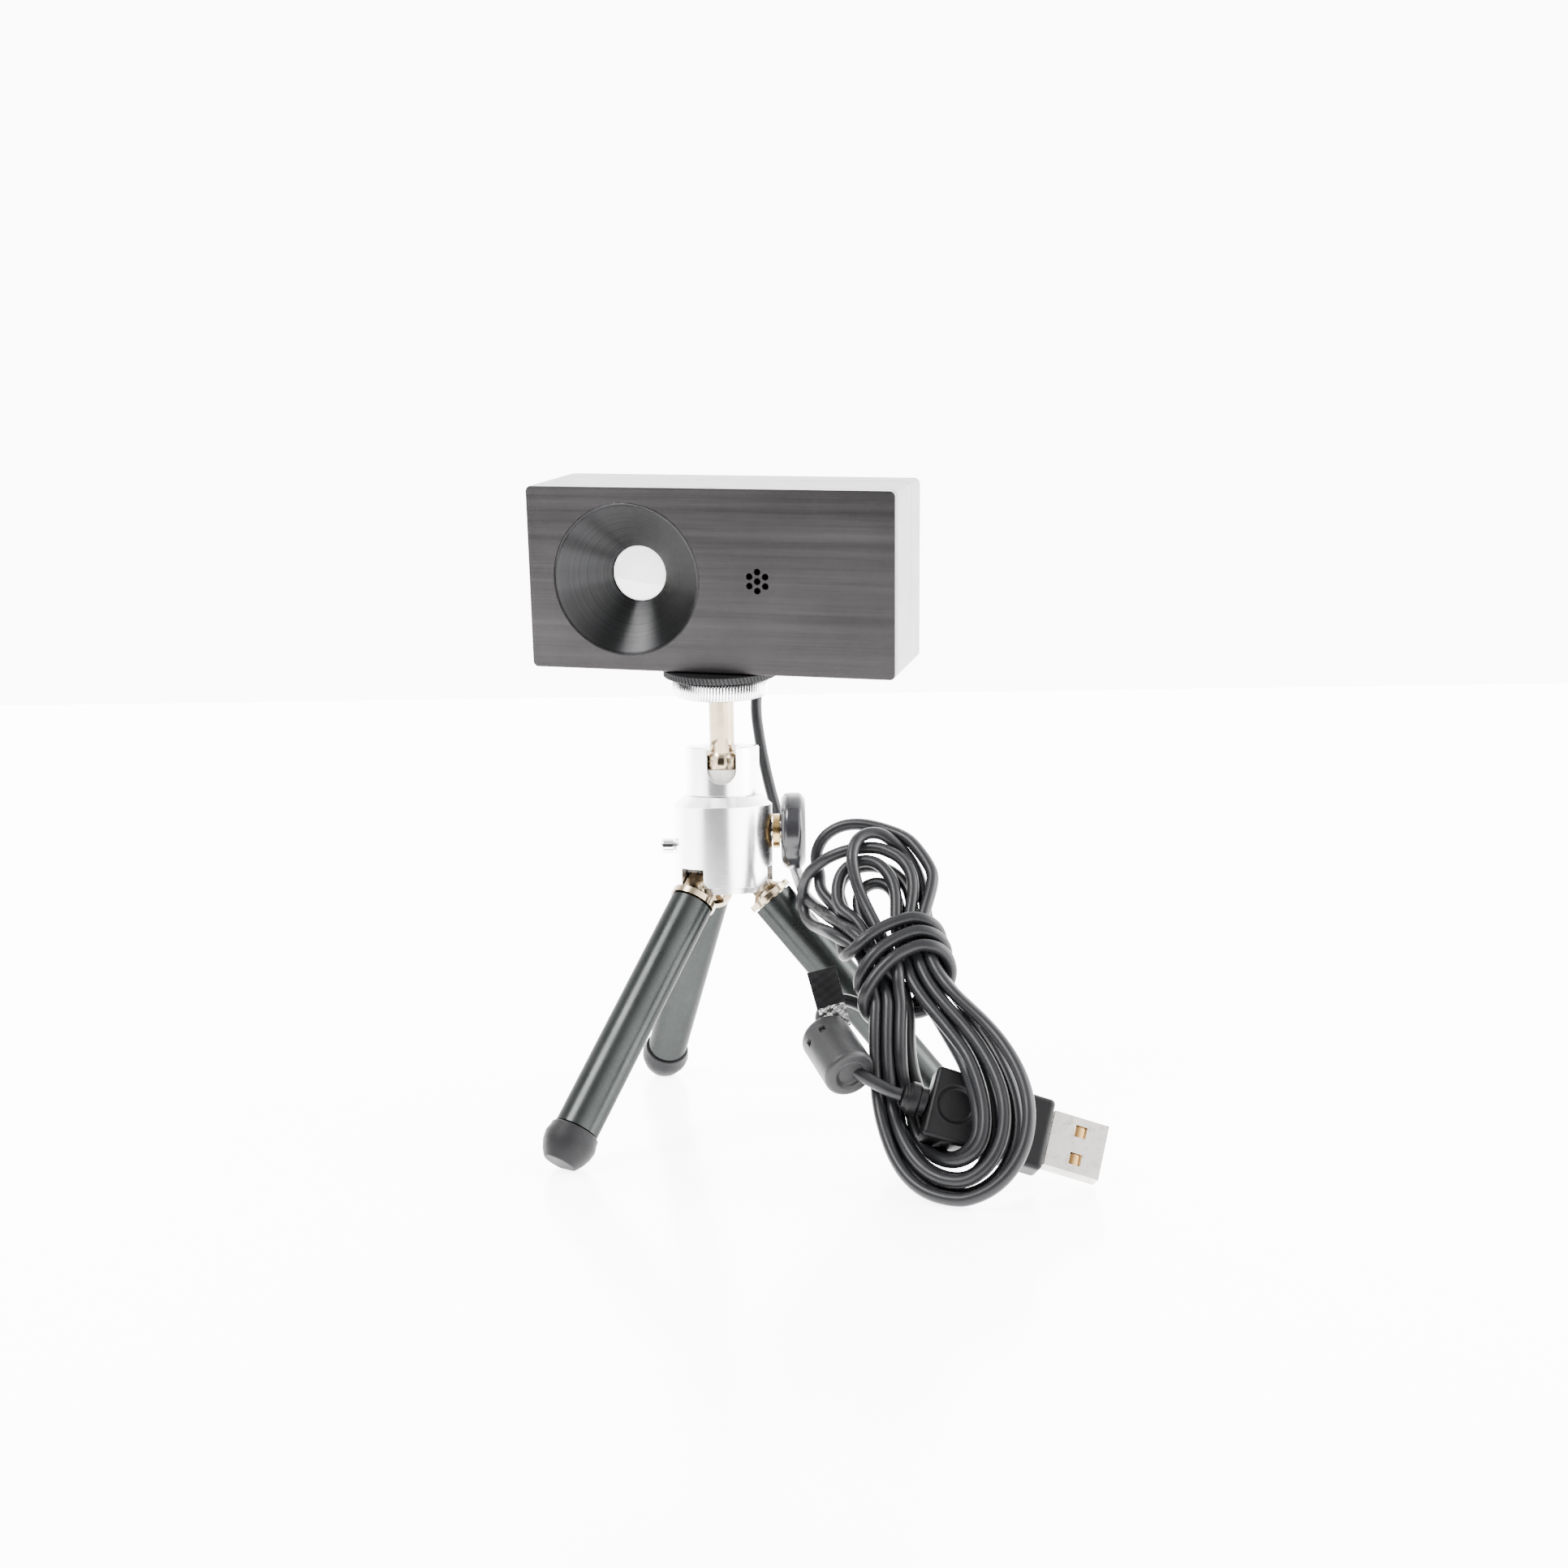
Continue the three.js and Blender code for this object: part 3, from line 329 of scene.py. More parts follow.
def cable_jacket():
    """Soft grey-black vinyl with a faint drawn grain and handling marks."""
    material, tree, shader = finish(
        "cable jacket", (0.005, 0.005, 0.0057), (0.0075, 0.0075, 0.0085), (0.32, 0.42), grain=1500.0,
        depth=0.000008, patches=130.0, Specular_IOR_Level=0.19)
    dust = noise(tree, place_of(tree), 3100.0, 2.0)
    speckled(tree, shader, mapped(tree, dust, 0.0, 0.25, 0.66, 0.78), (0.012, 0.012, 0.013))
    return material


def board_green():
    """Solder mask with copper tracks showing through."""
    material, tree, shader = finish(
        "solder mask", (0.006, 0.05, 0.02), (0.008, 0.066, 0.026), (0.25, 0.4), grain=1500.0, Coat_Weight=0.4)
    inputs = {"Vector": place_of(tree), "Scale": 420.0}
    cells = add(tree, "TexVoronoi", inputs, distance="CHEBYCHEV")
    tracks = mapped(tree, cells.outputs["Distance"], 1.0, 0.0, 0.05, 0.12)
    speckled(tree, shader, tracks, (0.016, 0.11, 0.04))
    return material


# Finishes without further detail: name, two colours, least and most roughness, other settings.
PLAIN = {
    "chrome": (
        "chrome plate", (0.9, 0.905, 0.92), (0.94, 0.94, 0.945), (0.03, 0.09),
        dict(metallic=1.0, depth=0.000003)),
    "nickel": (
        "warm nickel", (0.27, 0.21, 0.14), (0.36, 0.295, 0.205), (0.12, 0.24),
        dict(metallic=1.0, depth=0.000006)),
    "brass": (
        "machined brass", (0.34, 0.22, 0.085), (0.42, 0.29, 0.12), (0.2, 0.34),
        dict(metallic=1.0, depth=0.00001)),
    "rubber": (
        "moulded rubber", (0.0035, 0.0035, 0.004), (0.006, 0.006, 0.0066), (0.46, 0.62),
        dict(grain=2400.0, depth=0.00004, Specular_IOR_Level=0.14)),
    "black_plastic": (
        "moulded black plastic", (0.002, 0.002, 0.0023), (0.0035, 0.0035, 0.0039), (0.36, 0.48),
        dict(grain=3000.0, depth=0.00002, Specular_IOR_Level=0.1)),
    "knob_gloss": (
        "polished black knob", (0.009, 0.009, 0.01), (0.014, 0.014, 0.0155), (0.14, 0.24),
        dict(grain=1200.0, depth=0.000008, Specular_IOR_Level=0.4)),
    "bead_plastic": (
        "ferrite bead jacket", (0.0055, 0.0055, 0.006), (0.0085, 0.0085, 0.009), (0.38, 0.52),
        dict(grain=2600.0, depth=0.00004, Specular_IOR_Level=0.25)),
    "black_gloss": (
        "black film", (0.0015, 0.0015, 0.0017), (0.003, 0.003, 0.0033), (0.3, 0.42),
        dict(grain=700.0, depth=0.000005, Specular_IOR_Level=0.06)),
    "silver_foil": (
        "crumpled foil", (0.12, 0.12, 0.12), (0.3, 0.3, 0.295), (0.2, 0.4),
        dict(metallic=0.9, grain=500.0, depth=0.0004)),
    "white_plastic": (
        "white nylon", (0.8, 0.78, 0.72), (0.86, 0.84, 0.79), (0.35, 0.5),
        dict(grain=1500.0, Subsurface_Weight=0.1, Subsurface_Scale=0.001)),
    # Near-white pink base colour: painted reflection of the bright room in the window glass.
    "lens_glass": (
        "coated glass with painted reflection", (0.97, 0.935, 0.93), (0.99, 0.955, 0.95), (0.02, 0.06),
        dict(grain=300.0, depth=0.000001, Coat_Weight=1.0, Coat_Roughness=0.02, IOR=1.6)),
    "gold": (
        "gold contact", (0.3, 0.17, 0.06), (0.38, 0.23, 0.09), (0.15, 0.3),
        dict(metallic=1.0, depth=0.000006)),
}


def plain(name, first, second, roughness, settings):
    return finish(name, first, second, roughness, **settings)[0]


DETAILED = (brushed_dark, turned_dark, satin_silver, steel, graphite, cable_jacket, board_green)
FINISHES = {make.__name__: make() for make in DETAILED}
FINISHES.update({slot: plain(*row) for slot, row in PLAIN.items()})
# The knob, the bead, the foil and the gold contacts have finishes of their own within their slots.

# ---- Shapes ----


def mesh_from(name, corners, faces, material):
    mesh = bpy.data.meshes.new(name)
    mesh.from_pydata(corners, [], faces)
    mesh.materials.append(material)
    return mesh


def placed(name, data):
    """A new object in the scene."""
    made = bpy.data.objects.new(name, data)
    bpy.context.scene.collection.objects.link(made)
    return made


def tag(made, replaced=(), body=None):
    """Hides the CAD nodes that a piece stands for and hangs the piece on the body that carries it."""
    if body:
        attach(made, body)
    if replaced:
        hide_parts(*replaced)


def shade(mesh, angle=35):
    """Smooth faces that keep the edges sharper than an angle."""
    mesh.shade_smooth()
    mesh.set_sharp_from_angle(angle=math.radians(angle))


def piece(name, shape, matrix, slot, body, replaced=(), material=None, angle=35):
    """A new piece from (corners, faces) in millimetres, in its place, on its body."""
    corners, faces = shape
    to_row = matrix @ Matrix.Scale(MM, 4)
    mesh = mesh_from(name, [to_row @ Vector(corner) for corner in corners], faces, material or FINISHES[slot])
    mesh.validate()
    mesh.update()
    shade(mesh, angle)
    made = placed(name, mesh)
    tag(made, replaced, body)
    return made


def rounded(profile, radius, steps=4):
    """An open profile with its corners rounded off."""
    points = [Vector(point) for point in profile]
    result = [points[0]]
    for before, corner, after in zip(points, points[1:], points[2:]):
        reach = min(radius, 0.45 * (before - corner).length, 0.45 * (after - corner).length)
        start = corner + (before - corner).normalized() * reach
        end = corner + (after - corner).normalized() * reach
        for i in range(steps + 1):
            t = i / steps
            result.append(start * (1 - t) ** 2 + corner * 2 * t * (1 - t) + end * t * t)
    return [tuple(point) for point in (*result, points[-1])]


def lathe(profile, segments=96, relief=None):
    """Surface turned about Z from [radius, height] pairs.

    relief(angle, height, radius) gives the radius there.
    """
    corners = []
    rings = []
    for radius, height in profile:
        count = 1 if radius == 0 else segments
        rings.append(range(len(corners), len(corners) + count))
        for i in range(count):
            angle = 2 * math.pi * i / segments
            reach = relief(angle, height, radius) if relief and radius else radius
            corners.append((reach * math.cos(angle), reach * math.sin(angle), height))
    faces = []
    for low, high in zip(rings, rings[1:]):
        for i in range(segments):
            j = (i + 1) % segments
            around = (low[i % len(low)], low[j % len(low)], high[j % len(high)], high[i % len(high)])
            face = list(dict.fromkeys(around))
            if len(face) > 2:
                faces.append(face)
    return corners, faces


def edge_places(half, radius, band, cells):
    """Places across a box's side, close together where the edges are rounded."""
    steps = [radius * i / band for i in range(band)]
    inner = half - radius
    middle = [-inner + 2 * inner * i / cells for i in range(cells + 1)]
    return [-half + step for step in steps] + middle + [half - step for step in reversed(steps)]


def rounded_box(size, radius, cells, band=4, shape_face=None):
    """A box with rounded edges. shape_face(corner) moves a corner of the finished box."""
    half = [side / 2 for side in size]
    places = [edge_places(half[i], radius, band, cells[i]) for i in range(3)]
    index = {}
    corners = []

    def corner_at(key):
        if key not in index:
            corner = Vector([places[axis][key[axis]] for axis in range(3)])
            core = Vector([min(max(corner[i], radius - half[i]), half[i] - radius) for i in range(3)])
            out = corner - core
            if out.length > 0:
                corner = core + out.normalized() * radius
            index[key] = len(corners)
            corners.append(tuple(shape_face(corner) if shape_face else corner))
        return index[key]

    faces = []
    for axis in range(3):
        u, v = (axis + 1) % 3, (axis + 2) % 3
        for side in (0, len(places[axis]) - 1):
            for i in range(len(places[u]) - 1):
                for j in range(len(places[v]) - 1):
                    face = []
                    for di, dj in ((0, 0), (1, 0), (1, 1), (0, 1)):
                        key = [0, 0, 0]
                        key[axis], key[u], key[v] = side, i + di, j + dj
                        face.append(corner_at(tuple(key)))
                    faces.append(face if side else face[::-1])
    return corners, faces


# ---- Cable route, in millimetres from the tripod's axis ----

LEAD_ROUTE = [
    (8.9, 34.4, 119.4), (8.9, 36.6, 112.6), (8.1, 34.2, 104.6), (7.8, 30.2, 97.4), (8.6, 26, 90.8),
    (9.8, 22, 84.4), (11.4, 18.6, 77.6), (13.2, 16, 71.4), (15.2, 13.6, 65.2), (17, 10.6, 59.8),
    (17.6, 5, 58.4), (18.2, -2, 57.4), (19.4, -10, 55.4), (22.4, -18, 53.6),
]
TAIL_ROUTE = [(25.6, -35.4, 37.4), (23, -35.4, 36.6), (21.2, -37.6, 34.4)]
HANK_CENTRE = np.array([38.6, -35.2, 46.7])
HANK_YAW = 14
UP = np.array([-0.228, 0.633, 0.74])
UP /= np.linalg.norm(UP)
ACROSS = np.array([math.cos(math.radians(HANK_YAW)), -math.sin(math.radians(HANK_YAW)), 0])
ACROSS -= UP * ACROSS.dot(UP)
ACROSS /= np.linalg.norm(ACROSS)
NORMAL = np.cross(ACROSS, UP)

WAIST = -0.4  # middle of the hank's waist, across it
COLUMN = 2.95  # between neighbouring turns at the waist
ROW = 1.5  # half the distance between the front and back rows of turns
LOWER_LEAN = 0.3  # the lower loops' right side comes forward
FLARE = 0.75  # how soon a turn leaves the waist for its loop
BACKWARDS = np.array([0.03, 0.98, -0.2])

# Turns of the hank. Upper loop: reach to the left and right, height, share of the height where it
# is widest, lean of its top to the left. Lower loop: reach to the left and right, depth, share.
TURNS = [
    ((5.5, 4.4, 22.0, 0.6, 0), (6.4, 6.6, 53.5, 0.7)),
    ((10.2, 7.6, 25.4, 0.6, 1), (9.4, 9.6, 56.0, 0.72)),
    ((3.8, 10.6, 31.5, 0.6, 0), (12.4, 14.4, 59.5, 0.72)),
    ((9.3, 4.9, 25.5, 0.62, 0), (8.0, 8.2, 55.0, 0.7)),
    ((17.6, 9.6, 28.6, 0.6, 0), (11.0, 12.2, 57.5, 0.72)),
    ((11.6, 14.0, 36.6, 0.44, 5), (14.0, 17.0, 61.5, 0.70)),
]
WRAP_TURNS = 2.8
WRAP_STEPS = 16
WRAP_REACH = 10.9  # half the width of a wrap, across the hank
WRAP_DEPTH = 5  # half its depth, out of the hank's plane
WRAP_SQUARENESS = 0.65


def on_hank(across, along, out):
    return HANK_CENTRE + across * ACROSS + along * UP + out * NORMAL


def smooth(x):
    x = min(1, max(0, x))
    return x * x * (3 - 2 * x)


def slot_at_waist(turn, right):
    """Where a turn passes through the waist: across the hank and out of its plane."""
    side = 1 if right else -1
    behind = turn < 3
    across = WAIST + side * COLUMN * (turn % 3 + 0.5) + (COLUMN / 2 if behind else 0)
    return across, -ROW if behind else ROW


def loop(start, end, shape, waist, lower, crest=None):
    """Points of one loop of a turn, from one side of the waist round to the other."""
    left, right, height, share, lean = shape
    middle = (right - left) / 2
    half = (right + left) / 2
    wide = share * height
    side = 1 if start[0] > end[0] else -1
    flank = 5

    def on_flank(foot, edge, t):
        return foot + (edge - foot) * smooth(t ** FLARE), waist + (wide - waist) * t

    outline = [on_flank(start[0], middle + side * half, i / flank) for i in range(flank)]
    for i in range(9):
        angle = math.pi * i / 8
        across = middle + side * half * math.cos(angle) - lean * math.sin(angle)
        outline.append((across, wide + (height - wide) * math.sin(angle)))
    outline += [on_flank(end[0], middle - side * half, 1 - (i + 1) / flank) for i in range(flank)]
    points = []
    for i, (across, reach) in enumerate(outline):
        u = i / (len(outline) - 1)
        out = start[1] + (end[1] - start[1]) * smooth(u)
        if crest is not None:
            out += (crest - out) * smooth(min(u, 1 - u) * 4 - 0.6) * smooth(u * 2.2 - 0.5)
        if lower:
            out += LOWER_LEAN * (across + 1) * smooth((reach - waist) / 20)
            points.append(on_hank(across, -reach, out))
        else:
            back = 0.11 * max(0, -across - 5.5) ** 2 * smooth((reach - waist) / 10)
            points.append(on_hank(across, reach, out) + back * BACKWARDS)
    return points


def hank_turns():
    points = []
    for k, (upper, lower) in enumerate(TURNS):
        left = slot_at_waist(k, False)
        right = slot_at_waist(k, True)
        last = k == len(TURNS) - 1
        following = (WAIST - 10.2, -1.2) if last else slot_at_waist(k + 1, False)
        points += loop(left, right, (*lower, 0), 9, True)
        points += loop(right, following, upper, 4, False, 4.5 if k == 2 else None)
    return points


def wraps():
    """Turns wound round the waist, each lower than the one before."""
    points = []
    for i in range(1, int(WRAP_TURNS * WRAP_STEPS) + 1):
        turn = i / WRAP_STEPS
        c = math.cos(2 * math.pi * turn)
        s = math.sin(2 * math.pi * turn)
        bulge = 7.5 * s if s > 0 else 2 * s
        along = -2.2 - 4.0 * turn - (2.8 + 1.2 * turn) * c + bulge
        across = WAIST + 0.7 - WRAP_REACH * math.copysign(abs(c) ** WRAP_SQUARENESS, c)
        points.append(on_hank(across, along, WRAP_DEPTH * math.copysign(abs(s) ** WRAP_SQUARENESS, s)))
    return points


def between(start, end, t0, t1, t):
    return start + (end - start) * (t - t0) / (t1 - t0)


def curve_through(points, step=0.8):
    """Centripetal Catmull-Rom curve through points, a step apart."""
    p = np.array(points, float)
    p = np.vstack([2 * p[0] - p[1], p, 2 * p[-1] - p[-2]])
    result = []
    for p0, p1, p2, p3 in zip(p, p[1:], p[2:], p[3:]):
        t1 = np.linalg.norm(p1 - p0) ** 0.5
        t2 = t1 + np.linalg.norm(p2 - p1) ** 0.5
        t3 = t2 + np.linalg.norm(p3 - p2) ** 0.5
        count = max(2, round(np.linalg.norm(p2 - p1) / step))
        for t in np.linspace(t1, t2, count, endpoint=False):
            a1 = between(p0, p1, 0, t1, t)
            a2 = between(p1, p2, t1, t2, t)
            a3 = between(p2, p3, t2, t3, t)
            result.append(between(between(a1, a2, 0, t2, t), between(a2, a3, t1, t3, t), t1, t2, t))
    return np.array([*result, p[-2]])


def evenly(line, gap):
    steps = np.linalg.norm(np.diff(line, axis=0), axis=1)
    arc = np.concatenate([[0], np.cumsum(steps)])
    at = np.linspace(0, arc[-1], int(arc[-1] / gap) + 1)
    return np.stack([np.interp(at, arc, line[:, i]) for i in range(3)], 1)


def row_mm(matrix):
    """A frame's rotation and place in millimetres from the tripod's axis, as arrays."""
    return np.array(matrix.to_3x3()), np.array((matrix.translation - AXIS) / MM)


def off_rod(x, free, origin, direction, start, end, radius):
    """Pushes the line's points out of a rod."""
    relative = x - origin
    along = relative @ direction
    away = relative - along[:, None] * direction
    distance = np.linalg.norm(away, axis=1) + 1e-9
    inside = (along > start) & (along < end) & (distance < radius) & free
    x += np.where(inside[:, None], away / distance[:, None] * (radius - distance)[:, None] * 0.6, 0)


SHELL_END = 12.5  # of the plug, along its axis
NECK_RADIUS = 3.6
NECK_HALF_WIDTH = 2.6
OWN_TAIL = 14  # the plug's own cable: the line's last points
NECK_REACH = 21  # strands further back than this from the plug's shell pass behind its neck
PINNED = 22  # the line's last points, inside the bead and up to the plug


def off_plug(x, free, reach):
    """Keeps each strand that crosses the plug's neck behind it and the others in front of it."""
    turn, origin = row_mm(PLUG_FRAME)
    local = (x - origin) @ turn
    neck_end = -PLUG_LENGTH - RELIEF_LENGTH - 2
    body = (local[:, 0] > -PLUG_LENGTH - GAP) & (local[:, 0] < SHELL_END)
    limit = np.where(body, PLUG_THICKNESS / 2, NECK_RADIUS) + reach
    width = np.where(body, PLUG_WIDTH / 2, NECK_HALF_WIDTH) + reach
    near = (local[:, 0] > neck_end) & (local[:, 0] < SHELL_END) & (np.abs(local[:, 1]) < width) & free
    near[-OWN_TAIL:] = False
    places = np.flatnonzero(near)
    for strand in np.split(places, np.flatnonzero(np.diff(places) > 1) + 1):
        if len(strand) == 0 or np.abs(local[strand, 2]).min() > limit[strand].max():
            continue
        side = -1 if local[strand, 0].mean() < -NECK_REACH else 1
        short = np.maximum(limit[strand] - side * local[strand, 2], 0)
        x[strand] += 0.5 * side * short[:, None] * turn[:, 2]


LEG_SPREAD = 40.3  # the leg beside the hank: how far it leans, which way, and its length
LEG_AZIMUTH = 80
LEG_LENGTH = 76
LEG_REACH = 5.5  # radius of a leg's foot and tube, with a little air
PIVOT = (7.6, 58.92)  # the leg's pivot: from the tripod's axis, above the desk
PULL_OUT = 3.5  # how far the cable runs straight out of the bead
APART = 7  # along the line: nearer points don't push each other
AIR = 0.1  # left between the cable and what it lies on
BEND = 7.5  # radius that the settling aims at
LAST_ROUNDS = 70  # bends ease out once the turns lie apart


def settle(line, rounds=300, gap=1.7):
    """Lets the turns come to lie beside each other, off the desk and the hard pieces."""
    x = evenly(line, gap)
    index = np.arange(len(x))
    apart = np.abs(index[:, None] - index[None, :]) * gap > APART
    radius = CABLE / 2
    from_bead = (x - np.array(BEAD_CENTRE)) @ np.array(BEAD_DIRECTION)
    loose = index < len(x) - PINNED
    free = loose | (from_bead < -BEAD_HALF_LENGTH - 0.9) | (from_bead > PULL_OUT)
    free[:3] = False
    free[-2:] = False
    down = math.radians(LEG_SPREAD)
    angle = math.radians(LEG_AZIMUTH)
    leg = np.array([math.sin(angle) * math.sin(down), -math.cos(angle) * math.sin(down), -math.cos(down)])
    pivot = np.array([PIVOT[0] * math.sin(angle), -PIVOT[0] * math.cos(angle), PIVOT[1]])
    knob = np.array((CLAMP - AXIS) / MM)
    for step in range(rounds):
        delta = x[:, None, :] - x[None, :, :]
        distance = np.linalg.norm(delta, axis=2) + 1e-9
        want = np.where(apart, np.maximum(CABLE + 0.06 - distance, 0), 0)
        push = (delta / distance[..., None] * want[..., None]).sum(1)
        touching = np.maximum(1, (want > 0).sum(1))[:, None]
        easing = step > rounds - LAST_ROUNDS
        x += np.where(free[:, None], (0.2 if easing else 0.5) * push / touching, 0)
        off_plug(x, free, radius - 0.7 if easing else radius + AIR)
        off_rod(x, free, pivot, leg, 3, LEG_LENGTH, LEG_REACH + radius)
        off_rod(x, free, knob, np.array([1.0, 0, 0]), -1, KNOB_THICKNESS + radius, KNOB_RADIUS + radius)
        off_rod(x, loose, np.array(BEAD_CENTRE), np.array(BEAD_DIRECTION), -9, 9, BEAD_RADIUS + radius)
        x[:, 2] = np.maximum(x[:, 2], radius + AIR)
        middle = (x[:-2] + x[2:]) / 2 - x[1:-1]
        bend = np.linalg.norm(middle, axis=1) + 1e-9
        limit = gap ** 2 / (2 * BEND)
        ease = np.where(bend > limit, 0.9 * (1 - limit / bend), 0.02)
        x[1:-1] += np.where(free[1:-1, None], ease[:, None] * middle, 0)
        if step % 10 == 9:
            tangent = x[2:] - x[:-2]
            tangent /= np.linalg.norm(tangent, axis=1)[:, None]
            spans = np.linalg.norm(np.diff(x, axis=0), axis=1)
            x[1:-1] += np.where(free[1:-1, None], (0.25 * (spans[1:] - spans[:-1]))[:, None] * tangent, 0)
    return x


def on_plug_axis(distance):
    turn, origin = row_mm(PLUG_FRAME)
    return origin - turn[:, 0] * distance


def hank_route():
    """From the free lead's end through the hank, its wraps and the bead to the plug."""
    points = [LEAD_ROUTE[-1], (26.6, -26.4, 51.6), on_hank(-6.2, 4.2, 4.4), on_hank(-5, 0, 4.3)]
    points.append(on_hank(-3.4, -4.5, 3.0))
    points += hank_turns()
    points += wraps()
    points += TAIL_ROUTE
    points += [tuple(BEAD_CENTRE + BEAD_DIRECTION * reach) for reach in (-8.2, -7.4, 0, PULL_OUT)]
    end = PLUG_LENGTH + RELIEF_LENGTH + 2 * GAP
    points += [on_plug_axis(end + 1.5), on_plug_axis(end)]
    return settle(curve_through([np.array(point) for point in points]))


def in_row(points):
    """Millimetres from the tripod's axis to metres in the row frame."""
    return [tuple(Vector(point) * MM + AXIS) for point in points]


def cable_curve(name, points):
    """A smooth round cable as a curve object."""
    curve = bpy.data.curves.new(name, "CURVE")
    curve.dimensions = "3D"
    curve.bevel_depth = CABLE / 2 * MM
    curve.bevel_resolution = 4
    curve.resolution_u = 3
    curve.use_fill_caps = True
    spline = curve.splines.new("NURBS")
    spline.points.add(len(points) - 1)
    for target, point in zip(spline.points, points):
        target.co = (*point, 1)
    spline.order_u = 4
    spline.use_endpoint_u = True
    made = placed(name, curve)
    curve.materials.append(FINISHES["cable_jacket"])
    return made


def swept(points, radius, sides=16):
    """A round tube along points, closed at both ends."""
    path = [Vector(point) for point in points]
    corners = []
    faces = []
    side = Vector((1, 0, 0))
    for i, point in enumerate(path):
        heading = (path[min(i + 1, len(path) - 1)] - path[max(i - 1, 0)]).normalized()
        side = (side - heading * side.dot(heading)).normalized()
        up = heading.cross(side)
        for j in range(sides):
            angle = 2 * math.pi * j / sides
            corners.append(point + (side * math.cos(angle) + up * math.sin(angle)) * radius)
    for i in range(len(path) - 1):
        for j in range(sides):
            k = (j + 1) % sides
            faces.append((i * sides + j, i * sides + k, (i + 1) * sides + k, (i + 1) * sides + j))
    faces.append(tuple(reversed(range(sides))))
    faces.append(tuple(range(len(corners) - sides, len(corners))))
    return corners, faces


LEAD_SECTIONS = (
    ("lead_upper", "webcam", "stud"), ("lead_middle", "stud", "sleeve"), ("lead_lower", "sleeve", "base"),
)


def build_lead():
    """The free lead, in three lengths."""
    start = behind_front(GLAND_X, GLAND_Z, BODY_DEPTH + GLAND_LENGTH + GAP)
    first = [(start @ Vector((0, 0, reach * MM)) - AXIS) / MM for reach in (-1.2, 0, 2.5)]
    line = evenly(curve_through([np.array(point) for point in (*first, *LEAD_ROUTE)]), 1.0)
    share = len(line) // len(LEAD_SECTIONS)
    for i, (name, upper, lower) in enumerate(LEAD_SECTIONS):
        last = i == len(LEAD_SECTIONS) - 1
        points = in_row(line[i * share:] if last else line[i * share:(i + 1) * share + 1])
        corners, faces = swept(points, CABLE / 2 * MM)
        mesh = mesh_from(name, corners, faces, FINISHES["cable_jacket"])
        shade(mesh, 60)
        made = placed(name, mesh)
        tag(made, ["cable_lead"])
        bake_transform(made)


def build_hank():
    points = in_row(hank_route())
    hank = cable_curve("cable", points)
    replaced = ["cable_hank", "cable_wraps", "cable_tail_upper", "cable_tail_lower"]
    tag(hank, replaced, "base")


# ---- Pieces on the cable ----

RECESS_X = -20.4  # middle of the dished grip in the plug's face, along and across the plug
RECESS_Y = 0.4
RECESS_RADIUS = 4.2
RECESS_DEPTH = 0.9


def plug_moulding():
    """Overmoulded plug grip with a dish in each face."""
    def dished(corner):
        x = corner.x - PLUG_LENGTH / 2
        away = math.hypot(x - RECESS_X, corner.y - RECESS_Y)
        if abs(corner.z) > PLUG_THICKNESS / 2 - 0.01 and away < RECESS_RADIUS:
            wall = min(1.0, (RECESS_RADIUS - away) / 0.7)
            depth = RECESS_DEPTH * wall * (1.15 - 0.15 * (away / RECESS_RADIUS) ** 2)
            corner.z -= math.copysign(depth, corner.z)
        return corner
    shape = rounded_box((PLUG_LENGTH, PLUG_WIDTH, PLUG_THICKNESS), 1.1, (92, 56, 4), 4, dished)
    matrix = PLUG_FRAME @ Matrix.Translation((-PLUG_LENGTH / 2 * MM, 0, 0))
    return piece("plug_grip", shape, matrix, "black_plastic", "base", ["plug_moulding"], angle=50)


def plug_relief():
    """Stub with a collar where the cable enters the plug."""
    start = -PLUG_LENGTH - GAP
    back = start - RELIEF_LENGTH
    profile = rounded([
        (0, back), (2.5, back), (2.9, back + 0.4), (3.0, back + 1.1), (3.6, back + 1.4), (3.6, back + 3.3),
        (3.1, back + 3.6), (3.1, start), (0, start),
    ], 0.3)
    matrix = PLUG_FRAME @ turned_to((1, 0, 0))
    return piece("plug_stub", lathe(profile, 64), matrix, "black_plastic", "base", ["plug_relief"])


def gilt(name, places, box, lift):
    """Equal gilt strips side by side in the plug's shell. lift(x) is the height of their middle."""
    corners = []
    faces = []
    for place in places:
        strip, sides = rounded_box(*box, 2)
        base = len(corners)
        corners += [(x + 6.6, y + place, z + lift(x)) for x, y, z in strip]
        faces += [[base + i for i in face] for face in sides]
    return piece(name, (corners, faces), PLUG_FRAME, "brass", "base", material=FINISHES["gold"])


def usb_contacts():
    """Four gilt strips on the tongue inside the shell."""
    box = ((8.2, 1.1, 0.2), 0.08, (2, 1, 1))
    return gilt("usb_contacts", (-3.5, -1.2, 1.2, 3.5), box, lambda x: 0.02)


def usb_springs():
    """Gilt leaf springs that show through the shell's windows."""
    box = ((3.4, 3.2, 0.3), 0.1, (4, 4, 1))
    return gilt("usb_springs", (-3, 3), box, lambda x: 1.6 - 0.5 * (x / 1.7) ** 2)


